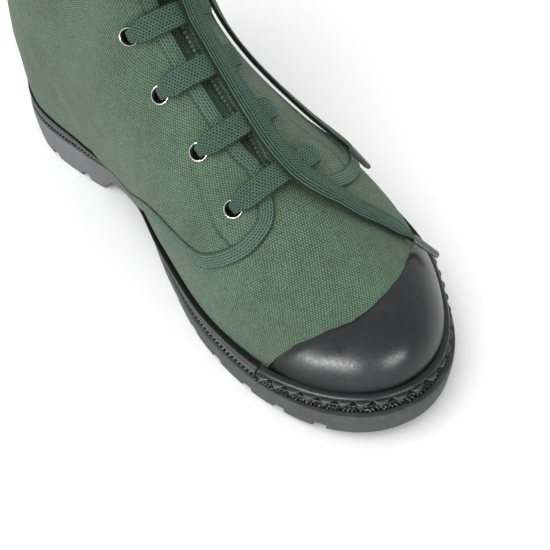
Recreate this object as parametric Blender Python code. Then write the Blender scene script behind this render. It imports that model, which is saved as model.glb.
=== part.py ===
"""Field boot with a canvas upper and a rubber toe cap, left foot, as separate named pieces.

The tables are in millimetres: x runs from the heel's back to the toe, y to the boot's left, which is
its lateral side, and z up from the floor. place() turns them into the scene's metres, with the origin
under the middle of the boot. The upper is one function, skin(): s counts the ribs from the toe (0) to
the back seam (12), and t runs up each rib from the sole (0) to the ridge, throat or collar (1).
"""
import math

import bmesh
import bpy
import numpy as np

OBJECT_NAME = "tactical_boot"
MM = 0.001

# Main sizes of the boot.
LENGTH = 300.0
TOE_BLUNT = 2.2
BLUNT_FROM = 0.86
CENTRE = ((LENGTH - TOE_BLUNT) / 2.0, -0.95, 0.0)
WALL = 1.8
GAP = 0.3
CAP_THICK = 2.3
CAP_EDGE_THICK = 1.5
PANEL_THICK = 1.0
PANEL_LIFT = 0.5
TAPE_THICK = 1.7
TAPE_WIDTH = 7.0
TAPE_STEPS = 30
BOW_FROM = 5.75
BOW_ROOM = 0.018
TONGUE_THICK = 2.0
TONGUE_DROP = 2.2
TONGUE_RISE = 14.0
TONGUE_PLACES = (7.6, 8.0, 8.35, 8.7, 8.95)
TONGUE_HALVES = (26.0, 19.5, 15.0, 13.5, 12.5)
INSOLE_THICK = 3.0
LUG_DEPTH = 4.5
GROOVE_WIDTH = 5.5
GROOVE_REACH = 21.0
TEETH = 21
EYELET_RIM = 4.3
EYELET_BORE = 2.5
EYELET_SHANK = 3.0
HOLE_SIDES = 6
FLANGE_THICK = 0.9
EYELET_HOLE = 3.8
LACE_WIDTH = 10.0
LACE_THICK = 1.6
AGLET_LENGTH = 13.0
AGLET_RADIUS = 2.0

# Outline of the sole: share of the length, offset of its middle, half width.
SOLE_ROWS = (
    (0.00, -0.5, 0.0),
    (0.05, -0.6, 24.6),
    (0.15, -0.9, 37.7),
    (0.28, 0.3, 35.8),
    (0.35, 2.6, 33.8),
    (0.42, 2.4, 35.7),
    (0.54, 1.3, 46.2),
    (0.66, -0.4, 54.0),
    (0.77, -2.3, 53.2),
    (0.87, -5.6, 44.2),
    (0.95, -7.8, 29.3),
    (1.00, -8.4, 0.0),
)

# Heights of the outsole: share of the length, its underside, its top.
HEIGHT_ROWS = (
    (0.00, 0.0, 21.0),
    (0.25, 0.0, 20.5),
    (0.302, 0.0, 19.3),
    (0.324, 8.0, 18.6),
    (0.40, 8.0, 16.5),
    (0.50, 2.0, 15.0),
    (0.55, 0.0, 14.2),
    (0.74, 0.0, 14.0),
    (0.87, 3.0, 17.0),
    (1.00, 10.0, 24.0),
)

# Ribs of the upper, from the toe to the back seam. foot is the share of the sole's length where the rib
# starts; top_x, top_y and top_z are where it ends, gap is how far from the middle line; swing and drop
# turn its last stretch; rise and the two flares push out its first stretch; inset is from the rim; tuck
# draws in the ankle.
RIB_COLUMNS = ("foot", "top_x", "top_y", "gap", "top_z", "swing", "drop", "rise", "flare_medial",
               "flare_lateral", "crown", "inset", "tuck")
RIB_ROWS = (
    (1.000, 277.0, -8.0, 0.0, 52.0, 0.0, 0.0, 15.0, 1.0, 1.0, 9.0, 8.0, 0.0),
    (0.955, 275.0, -8.0, 0.0, 52.7, 42.0, 0.0, 14.5, 2.0, 2.0, 15.0, 8.0, 0.0),
    (0.890, 272.0, -8.0, 0.0, 53.6, 75.0, 0.0, 14.0, 3.0, 3.0, 22.0, 7.6, 0.0),
    (0.813, 267.0, -8.0, 0.0, 55.0, 90.0, 0.0, 17.0, 4.0, 5.0, 25.5, 6.0, 0.0),
    (0.720, 240.0, -8.5, 0.0, 65.0, 90.0, 0.0, 27.0, 4.0, 6.5, 30.0, 4.8, 0.0),
    (0.630, 205.0, -8.5, 0.0, 80.0, 90.0, 2.0, 36.0, 7.0, 6.0, 33.0, 4.8, 0.0),
    (0.555, 186.0, -8.5, 2.5, 90.0, 90.0, 9.0, 37.0, 13.0, 6.0, 34.0, 4.8, 0.0),
    (0.455, 162.0, -7.5, 2.5, 106.0, 90.0, 18.0, 38.0, 20.0, 7.0, 36.0, 4.8, 0.0),
    (0.350, 139.0, -5.0, 3.0, 125.0, 90.0, 32.0, 40.0, 27.0, 7.0, 40.0, 4.8, 0.0),
    (0.260, 121.0, -3.0, 8.0, 163.0, 90.0, 66.0, 44.0, 15.0, 6.0, 55.0, 4.8, 0.0),
    (0.140, 68.0, 0.0, 37.0, 161.0, 90.0, 90.0, 42.0, 6.0, 6.0, 87.0, 4.8, 5.0),
    (0.030, 23.0, 0.0, 24.0, 159.0, 90.0, 90.0, 42.0, 6.0, 6.0, 76.0, 4.8, 7.0),
    (0.000, 12.0, 0.0, 0.0, 158.0, 90.0, 90.0, 42.0, 6.0, 6.0, 52.0, 4.8, 8.0),
)
THROAT_RIB = 5.0
COLLAR_RIB = 9.0
CAP_RIB = 3.10
STRIP_RIB = 3.17
BAND_RIB = 3.23
LAST_RIB = len(RIB_ROWS) - 1.0
RIB_STEPS = (3, 3, 2, 2, 2, 2, 2, 3, 4, 4, 3, 3)
UP_SHARES = (0.0, 0.18, 0.36, 0.51, 0.66, 0.82, 1.0)
SHAFT_MIDDLE = 66.0

# Edge of the quarter panel and its tape, from the sole round the front of the tab to the throat: s, t.
QUARTER_EDGE = (
    (7.40, 0.080),
    (7.22, 0.108),
    (7.05, 0.142),
    (6.88, 0.182),
    (6.70, 0.232),
    (6.51, 0.282),
    (6.28, 0.326),
    (6.01, 0.347),
    (5.67, 0.353),
    (5.34, 0.360),
    (5.02, 0.374),
    (4.80, 0.400),
    (4.66, 0.445),
    (4.56, 0.510),
    (4.49, 0.595),
    (4.47, 0.690),
    (4.52, 0.800),
    (4.62, 0.880),
    (4.80, 0.935),
    (5.09, 0.975),
    (5.40, 1.000),
)

# Side profile of the outsole: share of its height, inset from the rim.
RIM_ROWS = (
    (0.00, 0.8),
    (0.66, 0.0),
    (0.71, 0.9),
    (0.77, 0.0),
    (1.00, 0.3),
)

# Profile of the side band: height over the outsole, offset from the upper.
BAND_ROWS = (
    (0.0, 3.4),
    (2.6, 3.6),
    (3.3, 2.6),
    (7.3, 3.1),
    (7.9, 2.3),
    (8.5, 2.9),
    (10.0, 2.5),
)

# Profile of the toe strip: height over the outsole, offset at a tooth, offset between teeth.
BUMPER_ROWS = (
    (0.0, 5.6, 5.6),
    (2.5, 5.7, 5.7),
    (3.2, 6.0, 4.5),
    (8.6, 5.6, 4.4),
    (9.2, 5.0, 4.9),
    (11.6, 4.4, 4.4),
)

# Grooves of the tread at the rim: place along the boot, lean toward the toe in degrees.
TREAD_ROWS = (
    (30.0, -12.0),
    (54.5, 0.0),
    (78.0, 10.0),
    (174.5, -12.0),
    (194.0, -8.0),
    (213.0, 0.0),
    (233.0, 6.0),
    (251.0, 10.0),
    (270.0, 14.0),
)
CENTRE_GROOVES = (165.0, 191.0, 217.0, 243.0)

# Eyelets of one side, from the toe end: place along the ridge as s, distance from the middle line, lift.
EYELET_ROWS = (
    (5.00, 19.9, 2.0),
    (6.17, 17.0, 2.0),
    (7.10, 16.5, 2.0),
    (7.93, 16.5, 2.0),
    (8.60, 16.5, 3.1),
)
BAR_COUNT = 4

# Routes of the two lace ends over the upper: s, t, side (-1 medial, 1 lateral), lift of the middle line.
END_MEDIAL_ROUTE = (
    (8.50, 0.960, -1, 7.0),
    (8.20, 0.995, 1, 7.0),
    (7.80, 0.985, 1, 6.6),
    (7.40, 0.975, 1, 6.6),
    (7.00, 0.970, 1, 6.6),
    (6.60, 0.968, 1, 6.6),
    (6.17, 0.968, 1, 6.6),
    (5.80, 0.966, 1, 6.6),
    (5.29, 0.951, 1, 7.2),
    (4.85, 0.932, 1, 7.0),
    (4.60, 0.886, 1, 5.6),
    (4.41, 0.824, 1, 3.8),
    (4.20, 0.762, 1, 2.3),
    (3.89, 0.670, 1, 2.2),
    (3.62, 0.603, 1, 2.6),
    (3.39, 0.560, 1, 3.6),
)
END_LATERAL_ROUTE = (
    (8.50, 0.800, 1, 4.4),
    (8.20, 0.735, 1, 4.0),
    (7.80, 0.680, 1, 3.8),
    (7.30, 0.630, 1, 3.8),
    (6.80, 0.590, 1, 3.8),
    (6.30, 0.555, 1, 3.8),
    (5.85, 0.530, 1, 3.8),
    (5.40, 0.512, 1, 3.8),
    (5.03, 0.514, 1, 4.2),
    (4.81, 0.540, 1, 5.0),
)

COLOURS = {
    "canvas": ((0.075, 0.115, 0.070, 1.0), 0.92, 0.0),
    "tape": ((0.040, 0.085, 0.062, 1.0), 0.95, 0.0),
    "lace": ((0.030, 0.080, 0.062, 1.0), 0.90, 0.0),
    "lining": ((0.090, 0.110, 0.075, 1.0), 0.95, 0.0),
    "rubber": ((0.020, 0.021, 0.023, 1.0), 0.45, 0.0),
    "cap": ((0.022, 0.023, 0.026, 1.0), 0.35, 0.0),
    "sole": ((0.075, 0.078, 0.080, 1.0), 0.70, 0.0),
    "metal": ((0.72, 0.72, 0.70, 1.0), 0.25, 1.0),
    "tip": ((0.045, 0.047, 0.048, 1.0), 0.40, 0.0),
}


def table(rows, column):
    """One column of a table as an array."""
    return np.array([row[column] for row in rows], dtype=float)


def through(places, values, at, level=False):
    """Smooth curve through the rows of a table. level keeps it from overshooting."""
    steps = np.diff(values) / np.diff(places)
    if level:
        slopes = np.zeros(len(places))
        slopes[0] = steps[0]
        slopes[-1] = steps[-1]
        both = steps[:-1] + steps[1:]
        same = steps[:-1] * steps[1:] > 0.0
        slopes[1:-1] = np.where(same, 2.0 * steps[:-1] * steps[1:] / np.where(same, both, 1.0), 0.0)
    else:
        slopes = np.gradient(values, places)
    index = np.clip(np.searchsorted(places, at, side="right") - 1, 0, len(places) - 2)
    span = places[index + 1] - places[index]
    u = (at - places[index]) / span
    first = (1.0 + 2.0 * u) * (1.0 - u) ** 2 * values[index] + u * (1.0 - u) ** 2 * span * slopes[index]
    second = u * u * (3.0 - 2.0 * u) * values[index + 1] + u * u * (u - 1.0) * span * slopes[index + 1]
    return first + second


def unit(vectors):
    """Vectors of length one."""
    return vectors / np.linalg.norm(vectors, axis=-1, keepdims=True)


SOLE_TURN = np.arccos(1.0 - 2.0 * table(SOLE_ROWS, 0))
SOLE_MIDDLE = table(SOLE_ROWS, 1)
SOLE_HALF = table(SOLE_ROWS, 2)
HEIGHT_X = table(HEIGHT_ROWS, 0) * LENGTH
HEIGHT_LOW = table(HEIGHT_ROWS, 1)
HEIGHT_TOP = table(HEIGHT_ROWS, 2)
RIB_NUMBER = np.arange(len(RIB_ROWS), dtype=float)
RIB = {name: table(RIB_ROWS, k) for k, name in enumerate(RIB_COLUMNS)}
RIB_TURN = np.arccos(1.0 - 2.0 * RIB["foot"])


def outline_point(turn, side):
    """Point of the sole's outline. turn is 0 at the heel's back and pi at the toe."""
    share = (1.0 - np.cos(turn)) / 2.0
    x = LENGTH * share - TOE_BLUNT * np.maximum((share - BLUNT_FROM) / (1.0 - BLUNT_FROM), 0.0) ** 2
    y = through(SOLE_TURN, SOLE_MIDDLE, turn) + side * through(SOLE_TURN, SOLE_HALF, turn)
    return np.stack([x, y], axis=-1)


def outline(turn, side, inset):
    """Point of the outline moved in by inset, and the direction out of the sole there."""
    turn = np.asarray(turn, dtype=float)
    small = 0.001
    ahead = outline_point(np.minimum(turn + small, math.pi), side)
    behind = outline_point(np.maximum(turn - small, 0.0), side)
    along = ahead - behind
    out = unit(np.stack([-along[..., 1], along[..., 0]], axis=-1) * side)
    out = np.where((turn > math.pi - 1e-6)[..., None], np.array([1.0, 0.0]), out)
    out = np.where((turn < 1e-6)[..., None], np.array([-1.0, 0.0]), out)
    point = outline_point(turn, side) - out * np.asarray(inset, dtype=float)[..., None]
    return point, out


def underside(x):
    """Height of the outsole's lowest face."""
    return through(HEIGHT_X, HEIGHT_LOW, np.clip(x, 0.0, LENGTH), level=True)


def deck(x):
    """Height of the outsole's top face."""
    return through(HEIGHT_X, HEIGHT_TOP, np.clip(x, 0.0, LENGTH), level=True)


def rib(name, s):
    """One column of the rib table at a rib number between the rows."""
    return through(RIB_NUMBER, RIB[name], s, level=(name == "gap"))


def rib_turn(s):
    """Turn of the sole's outline where a rib starts."""
    return np.clip(through(RIB_NUMBER, RIB_TURN, s), 0.0, math.pi)


def surface(s, t, side):
    """Outer face of the upper at rib s and height t, medial side -1 or lateral side 1."""
    s = np.asarray(s, dtype=float)
    t = np.asarray(t, dtype=float)[..., None]
    foot, out = outline(rib_turn(s), side, rib("inset", s))
    flare = rib("flare_medial", s) if side < 0 else rib("flare_lateral", s)
    start = np.stack([foot[..., 0], foot[..., 1], deck(foot[..., 0]) + GAP], axis=-1)
    lift = start + np.stack([out[..., 0] * flare, out[..., 1] * flare, rib("rise", s)], axis=-1)
    gap = rib("gap", s)
    top = np.stack([rib("top_x", s), rib("top_y", s) + side * gap, rib("top_z", s)], axis=-1)
    small = 0.02
    before = np.clip(s - small, 0.0, LAST_RIB)
    after = np.clip(s + small, 0.0, LAST_RIB)
    run = rib("top_x", after) - rib("top_x", before)
    slope = (rib("top_z", after) - rib("top_z", before)) / np.where(np.abs(run) < 1e-6, 1e-6, run)
    swing = np.radians(rib("swing", s))
    drop = np.radians(rib("drop", s))
    forward = np.where(s < 3.0, np.cos(swing), 0.0)
    lean = np.stack([forward * np.cos(drop), side * np.sin(swing) * np.cos(drop),
                     forward * slope - np.sin(drop)], axis=-1)
    shoulder = top + (rib("crown", s) - gap)[..., None] * lean
    away = unit(np.stack([top[..., 0] - SHAFT_MIDDLE, top[..., 1], np.zeros_like(gap)], axis=-1))
    shoulder = shoulder - away * rib("tuck", s)[..., None]
    low = (1.0 - t) ** 3 * start + 3.0 * t * (1.0 - t) ** 2 * lift
    return low + 3.0 * t * t * (1.0 - t) * shoulder + t ** 3 * top


def surface_normal(s, t, side):
    """Direction out of the upper."""
    s = np.clip(np.asarray(s, dtype=float), 0.03, LAST_RIB - 0.03)
    t = np.clip(np.asarray(t, dtype=float), 0.012, 0.988)
    small = 0.002
    along = surface(s + small, t, side) - surface(s - small, t, side)
    upward = surface(s, t + small, side) - surface(s, t - small, side)
    return unit(np.cross(along, upward) * side)


def shared(s, t):
    """True on the middle line, where both sides of the upper are one."""
    if s < 1e-6 or s > LAST_RIB - 1e-6:
        return True
    return t > 1.0 - 1e-6 and s < THROAT_RIB + 1e-6


def skin(key, offset):
    """Point at an offset from the upper's outer face. key is (s, t, side)."""
    s, t, side = key
    if side == 0:
        normal = unit(surface_normal(s, t, -1) + surface_normal(s, t, 1))
        return surface(s, t, -1) + normal * offset
    return surface(s, t, side) + surface_normal(s, t, side) * offset


def key_of(s, t, side):
    """Key of a point of the upper, the same from both sides on the middle line."""
    s = round(float(s), 6)
    t = round(float(t), 6)
    return (s, t, 0 if shared(s, t) else side)


def height_to_t(s, side, height):
    """t where a rib is this high over its start."""
    steps = np.linspace(0.0, 0.7, 71)
    rib_z = surface(np.full(71, float(s)), steps, side)[:, 2]
    return float(np.interp(rib_z[0] + height, rib_z, steps))


def place(points):
    """Millimetres of the tables to metres of the scene, origin under the middle of the boot."""
    points = np.asarray(points, dtype=float)
    return (points - np.array(CENTRE)) * MM


def clear_scene():
    """Remove what the file holds."""
    for item in list(bpy.data.objects):
        bpy.data.objects.remove(item, do_unlink=True)


def make_collection(name):
    """Collection of this name under the scene."""
    found = bpy.data.collections.get(name) or bpy.data.collections.new(name)
    if found.name not in bpy.context.scene.collection.children:
        bpy.context.scene.collection.children.link(found)
    return found


def make_material(name, finish):
    """Principled material of one piece."""
    colour, roughness, metallic = COLOURS[finish]
    material = bpy.data.materials.new(name)
    material.use_nodes = True
    shader = material.node_tree.nodes["Principled BSDF"]
    shader.inputs["Base Color"].default_value = colour
    shader.inputs["Roughness"].default_value = roughness
    shader.inputs["Metallic"].default_value = metallic
    material.diffuse_color = colour
    return material


def add_mesh(name, points, faces, finish, group):
    """Object from points in millimetres, with outward faces and its own material."""
    mesh = bpy.data.meshes.new(name)
    mesh.from_pydata([tuple(p) for p in place(points)], [], faces)
    work = bmesh.new()
    work.from_mesh(mesh)
    bmesh.ops.recalc_face_normals(work, faces=work.faces[:])
    bmesh.ops.triangulate(work, faces=work.faces[:])
    work.to_mesh(mesh)
    work.free()
    item = bpy.data.objects.new(name, mesh)
    group.objects.link(item)
    if finish:
        mesh.materials.append(make_material(name, finish))
    return item


def thicken(name, cells, low, high, finish, group):
    """Closed solid between two offsets of the upper, over cells of keys."""
    index = {}
    keys = []
    clean = []
    for cell in cells:
        ring = []
        for key in cell:
            if key not in index:
                index[key] = len(keys)
                keys.append(key)
            number = index[key]
            if number not in ring:
                ring.append(number)
        if len(ring) > 2:
            clean.append(ring)
    count = len(keys)
    points = [skin(key, high(key)) for key in keys] + [skin(key, low(key)) for key in keys]
    edges = {}
    for ring in clean:
        for k, a in enumerate(ring):
            b = ring[(k + 1) % len(ring)]
            edges[(a, b)] = edges.get((a, b), 0) + 1
    halves = []
    for ring in clean:
        for k in range(1, len(ring) - 1):
            halves.append((ring[0], ring[k], ring[k + 1]))
    faces = list(halves)
    faces += [tuple(count + a for a in reversed(half)) for half in halves]
    for a, b in edges:
        if (b, a) not in edges:
            faces.append((b, a, count + a, count + b))
    used = sorted({a for face in faces for a in face})
    renumber = {old: new for new, old in enumerate(used)}
    faces = [tuple(renumber[a] for a in face) for face in faces]
    return add_mesh(name, [points[a] for a in used], faces, finish, group)


def sheet_cells(ribs, ups, side):
    """Cells between ribs. ups gives the t values of each rib, as many on each."""
    cells = []
    for i in range(len(ribs) - 1):
        for j in range(len(ups[i]) - 1):
            cell = [key_of(ribs[i], ups[i][j], side), key_of(ribs[i + 1], ups[i + 1][j], side),
                    key_of(ribs[i + 1], ups[i + 1][j + 1], side), key_of(ribs[i], ups[i][j + 1], side)]
            cells.append(cell if side < 0 else cell[::-1])
    return cells


def rib_range(first, last):
    """Rib numbers of the common grid between two ends, ends included."""
    grid = np.array([row + k / steps for row, steps in enumerate(RIB_STEPS) for k in range(steps)])
    inner = grid[(grid > first + 0.05) & (grid < last - 0.05)]
    return [first] + [float(s) for s in inner] + [last]


UP_GRID = np.array(UP_SHARES)


def build_upper(group):
    """The hollow upper: vamp and shaft as one wall."""
    cells = []
    ribs = rib_range(0.0, LAST_RIB)
    for side in (-1, 1):
        cells += sheet_cells(ribs, [UP_GRID] * len(ribs), side)
    return thicken("upper", cells, lambda key: -WALL, lambda key: 0.0, "canvas", group)


def build_cap(group):
    """Toe cap over the front of the upper, thinner at its back edge."""
    cells = []
    ribs = rib_range(0.0, CAP_RIB)
    for side in (-1, 1):
        ups = [np.maximum(UP_GRID, height_to_t(s, side, 0.9)) for s in ribs]
        cells += sheet_cells(ribs, ups, side)

    def top(key):
        share = min(1.0, (CAP_RIB - key[0]) / 0.7)
        return GAP + CAP_EDGE_THICK + (CAP_THICK - CAP_EDGE_THICK) * share

    return thicken("toe_cap", cells, lambda key: GAP, top, "cap", group)


def sweep(name, loops, finish, group, closed):
    """Solid from profile loops of equal size, joined in a ring or with both ends closed."""
    size = len(loops[0])
    points = [point for loop in loops for point in loop]
    faces = []
    count = len(loops)
    for i in range(count if closed else count - 1):
        k = (i + 1) % count
        for j in range(size):
            n = (j + 1) % size
            faces.append((i * size + j, k * size + j, k * size + n, i * size + n))
    if not closed:
        faces.append(tuple(range(size)))
        faces.append(tuple((count - 1) * size + j for j in range(size)))
    return add_mesh(name, points, faces, finish, group)


def wall_point(s, side, height, offset):
    """Point beside the upper at a height over the sole, moved out level."""
    t = height_to_t(s, side, height)
    base = surface(s, t, side)
    normal = surface_normal(s, t, side)
    if s < 1e-6 or s > LAST_RIB - 1e-6:
        normal = surface_normal(s, t, -1) + surface_normal(s, t, 1)
    level = unit(np.array([normal[0], normal[1], 0.0]))
    spot = base + level * offset
    foot = surface(s, 0.0, side)
    spot[2] = float(deck(spot[0])) + GAP + height + (base[2] - foot[2] - height)
    return spot


def band_loop(s, side):
    """Profile of the side band at a rib."""
    extra = float(rib("inset", np.asarray(s))) - 4.8
    loop = [wall_point(s, side, height, offset + extra) for height, offset in BAND_ROWS]
    loop += [wall_point(s, side, height, GAP) for height in (BAND_ROWS[-1][0], 0.0)]
    return loop


def build_band(group):
    """Side band from the toe strip round the heel and back."""
    ribs = rib_range(BAND_RIB, LAST_RIB)
    loops = [band_loop(s, -1) for s in ribs]
    loops += [band_loop(s, 1) for s in reversed(ribs[:-1])]
    return sweep("foxing", loops, "rubber", group, False)


def toe_places():
    """Signed rib numbers round the toe and the length to each, from the medial joint to the lateral."""
    ribs = np.linspace(STRIP_RIB, 0.0, 121)
    medial = surface(ribs, np.zeros(121), -1)
    lateral = surface(ribs[::-1], np.zeros(121), 1)
    line = np.concatenate([medial, lateral[1:]])
    number = np.concatenate([-ribs, ribs[::-1][1:]])
    length = np.concatenate([[0.0], np.cumsum(np.linalg.norm(np.diff(line, axis=0), axis=1))])
    return number, length


def build_bumper(group):
    """Toe strip with teeth on its outer face."""
    number, length = toe_places()
    pitch = length[-1] / TEETH
    cap_face = GAP + CAP_THICK + GAP
    loops = []
    for k in range(TEETH):
        for share, tooth in ((0.10, 0), (0.20, 1), (0.70, 1), (0.80, 0)):
            at = pitch * (k + share)
            if k == 0 and share == 0.10:
                at = 0.0
            if k == TEETH - 1 and share == 0.80:
                at = length[-1]
            place_number = float(np.interp(at, length, number))
            side = -1 if place_number <= 0.0 else 1
            s = abs(place_number)
            loop = [wall_point(s, side, row[0], row[1] if tooth else row[2]) for row in BUMPER_ROWS]
            loop += [wall_point(s, side, height, cap_face) for height in (BUMPER_ROWS[-1][0], 5.5, 0.0)]
            loops.append(loop)
    return sweep("toe_bumper", loops, "rubber", group, False)


def edge_curve(count, side):
    """Edge of the quarter as s and t at equal steps of its rows, over the band and up to the collar."""
    rows = QUARTER_EDGE
    order = np.arange(len(rows), dtype=float)
    at = np.linspace(0.0, len(rows) - 1.0, count)
    s = through(order, table(rows, 0), at)
    t = np.minimum(through(order, table(rows, 1), at), 1.0)
    band_top = BAND_ROWS[-1][0] + 2.0 * GAP
    t = np.maximum(t, [height_to_t(here, side, band_top) for here in s])
    facing = rib_range(5.40, COLLAR_RIB)[1:]
    return np.concatenate([s, facing]), np.concatenate([t, np.ones(len(facing))])


def move_in(s, t, side, distance):
    """Move the points of an edge curve into the panel along the upper."""
    moved_s = np.array(s)
    moved_t = np.array(t)
    steps = 4
    point = surface(s, t, side)
    along = unit(np.gradient(point, axis=0))
    for _ in range(steps):
        normal = surface_normal(moved_s, moved_t, side)
        inward = unit(np.cross(along, normal)) * side
        small = 0.002
        here_s = np.clip(moved_s, small, LAST_RIB - small)
        here_t = np.clip(moved_t, small, 1.0 - small)
        d_s = (surface(here_s + small, here_t, side) - surface(here_s - small, here_t, side)) / (2 * small)
        d_t = (surface(here_s, here_t + small, side) - surface(here_s, here_t - small, side)) / (2 * small)
        a = np.sum(d_s * d_s, axis=-1)
        b = np.sum(d_s * d_t, axis=-1)
        c = np.sum(d_t * d_t, axis=-1)
        p = np.sum(d_s * inward, axis=-1)
        q = np.sum(d_t * inward, axis=-1)
        fall = a * c - b * b
        moved_s = moved_s + (p * c - q * b) / fall * distance / steps
        moved_t = np.minimum(moved_t + (q * a - p * b) / fall * distance / steps, 1.0)
    return moved_s, moved_t


def build_tape(name, side, group):
    """Tape along the edge of one quarter."""
    s, t = edge_curve(TAPE_STEPS, side)
    in_s, in_t = move_in(s, t, side, TAPE_WIDTH)
    edge = 0.5 * TAPE_THICK
    loops = []
    for k in range(len(s)):
        low = GAP + 0.9 * float(np.clip((s[k] - 7.8) / 0.6, 0.0, 1.0)) * float(t[k] > 0.5)
        high = low + TAPE_THICK
        outer = (s[k], t[k], side)
        inner = (in_s[k], in_t[k], side)
        loops.append([skin(outer, low), skin(outer, low + edge), skin(inner, high), skin(inner, low)])
    return sweep(name, loops, "tape", group, False)


def panel_limits(side):
    """Lower and upper t of the quarter panel at any rib, and its front rib."""
    s, t = edge_curve(91, side)
    in_s, in_t = move_in(s, t, side, TAPE_WIDTH + 2.0 * GAP)
    front = int(np.argmin(in_s))
    low_s = in_s[:front + 1][::-1]
    low_t = in_t[:front + 1][::-1]
    high_s = in_s[front:]
    high_t = in_t[front:]
    return low_s, low_t, high_s, high_t


def build_panel(name, side, group):
    """Quarter panel between the tape, the side band, the collar and the back seam."""
    low_s, low_t, high_s, high_t = panel_limits(side)
    corner = (8.95, 9.45)
    front = float(low_s[0]) + 0.012
    early = [front, front + 0.03, front + 0.08, front + 0.15, front + 0.25]
    later = [s for s in rib_range(0.0, LAST_RIB) if s > front + 0.3]
    tape_s, _ = move_in(*edge_curve(TAPE_STEPS, side), side, TAPE_WIDTH)
    behind = max(float(low_s[-1]), float(tape_s[0])) + 0.05
    later = [s for s in later if abs(s - behind) > 0.08]
    ribs = sorted(early + later + [behind - 0.02, behind])
    ribs[-1] = LAST_RIB - 0.012
    band_top = BAND_ROWS[-1][0] + 3.0 * GAP
    ups = []
    for s in ribs:
        low = float(np.interp(s, low_s, low_t))
        if BOW_FROM < s < behind:
            low = low + BOW_ROOM
        if s > behind - 0.001:
            low = 0.0
        low = max(low, height_to_t(s, side, band_top))
        high = float(np.interp(s, high_s, high_t))
        if corner[0] < s < corner[1]:
            high = high - 0.02
        if s > corner[1]:
            high = 1.0
        ups.append(np.clip(UP_GRID, low, max(high, low + 0.01)))
    cells = sheet_cells(ribs, ups, side)
    return thicken(name, cells, lambda key: PANEL_LIFT, lambda key: PANEL_LIFT + PANEL_THICK, "canvas",
                   group)


def build_outsole(group):
    """Outsole plate with its side steps, before the tread is cut."""
    turns = list(np.linspace(0.0, math.pi, 35))
    for x in (90.6, 94.0, 97.2):
        turns.append(math.acos(1.0 - 2.0 * x / LENGTH))
    turns = np.array(sorted(turns))
    ring = [(turn, -1) for turn in turns] + [(turn, 1) for turn in turns[-2:0:-1]]
    points = []
    for share, inset in RIM_ROWS:
        for turn, side in ring:
            point, _ = outline(turn, side, inset)
            low = float(underside(point[0]))
            points.append((point[0], point[1], low + share * (float(deck(point[0])) - low)))
    size = len(ring)
    faces = []
    for level in range(len(RIM_ROWS) - 1):
        for j in range(size):
            n = (j + 1) % size
            faces.append((level * size + j, level * size + n, (level + 1) * size + n, (level + 1) * size + j))
    last = len(turns) - 1
    for base in (0, (len(RIM_ROWS) - 1) * size):
        for i in range(last):
            a = base + i
            b = base + i + 1
            c = base + (size - i - 1) % size
            d = base + (size - i) % size
            cell = []
            for number in (a, b, c, d):
                if number not in cell:
                    cell.append(number)
            faces.append(tuple(cell))
    return add_mesh("outsole", points, faces, "sole", group)


def groove_box(centre, direction, length, width, top):
    """Eight points of a groove cutter with one leaning wall."""
    across = np.array([-direction[1], direction[0]])
    points = []
    for along in (0.0, length):
        middle = np.asarray(centre) + direction * along
        for shift, z in ((-0.5, -6.0), (0.9, -6.0), (0.5, top), (-0.5, top)):
            spot = middle + across * width * shift
            points.append((spot[0], spot[1], z))
    faces = [(0, 1, 2, 3), (7, 6, 5, 4), (0, 4, 5, 1), (1, 5, 6, 2), (2, 6, 7, 3), (3, 7, 4, 0)]
    return points, faces


def join_boxes(name, boxes, group):
    """One cutter object from several boxes."""
    points = []
    faces = []
    for box_points, box_faces in boxes:
        start = len(points)
        points += box_points
        faces += [tuple(start + a for a in face) for face in box_faces]
    cutter = add_mesh(name, points, faces, None, group)
    cutter.hide_render = True
    cutter.display_type = "WIRE"
    return cutter


def cut(item, cutter, name):
    """Subtract a cutter from an item."""
    modifier = item.modifiers.new(name, "BOOLEAN")
    modifier.operation = "DIFFERENCE"
    modifier.solver = "EXACT"
    modifier.object = cutter


def tread_cutters(group):
    """Cutters of the tread: rim grooves, lengthwise channels and grooves between them."""
    rim = []
    for x, lean in TREAD_ROWS:
        for side in (-1, 1):
            turn = math.acos(1.0 - 2.0 * x / LENGTH)
            start, out = outline(turn, side, -5.0)
            angle = math.radians(lean) * side
            inward = -out
            turned = np.array([inward[0] * math.cos(angle) - inward[1] * math.sin(angle),
                               inward[0] * math.sin(angle) + inward[1] * math.cos(angle)])
            if turned[1] * side > 0.0:
                turned = inward
            top = float(underside(x)) + LUG_DEPTH
            if side > 0:
                turned = np.array([turned[0], turned[1]])
            rim.append(groove_box(start, turned, GROOVE_REACH + 5.0, GROOVE_WIDTH, top))
    channels = []
    for side in (-1, 1):
        places = np.linspace(150.0, 262.0, 8)
        for a, b in zip(places[:-1], places[1:]):
            first, _ = outline(math.acos(1.0 - 2.0 * a / LENGTH), side, GROOVE_REACH + 1.5)
            second, _ = outline(math.acos(1.0 - 2.0 * b / LENGTH), side, GROOVE_REACH + 1.5)
            channels.append((first, second, side))
    centre = []
    for x in CENTRE_GROOVES:
        turn = math.acos(1.0 - 2.0 * x / LENGTH)
        right, _ = outline(turn, -1, GROOVE_REACH + 1.0)
        left, _ = outline(turn, 1, GROOVE_REACH + 1.0)
        span = left - right
        width = float(np.linalg.norm(span))
        centre.append(groove_box(right, span / width, width, GROOVE_WIDTH - 1.0,
                                 float(underside(x)) + LUG_DEPTH - 1.0))
    return (join_boxes("cut_rim_grooves", rim, group), channels,
            join_boxes("cut_centre_grooves", centre, group))


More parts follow.
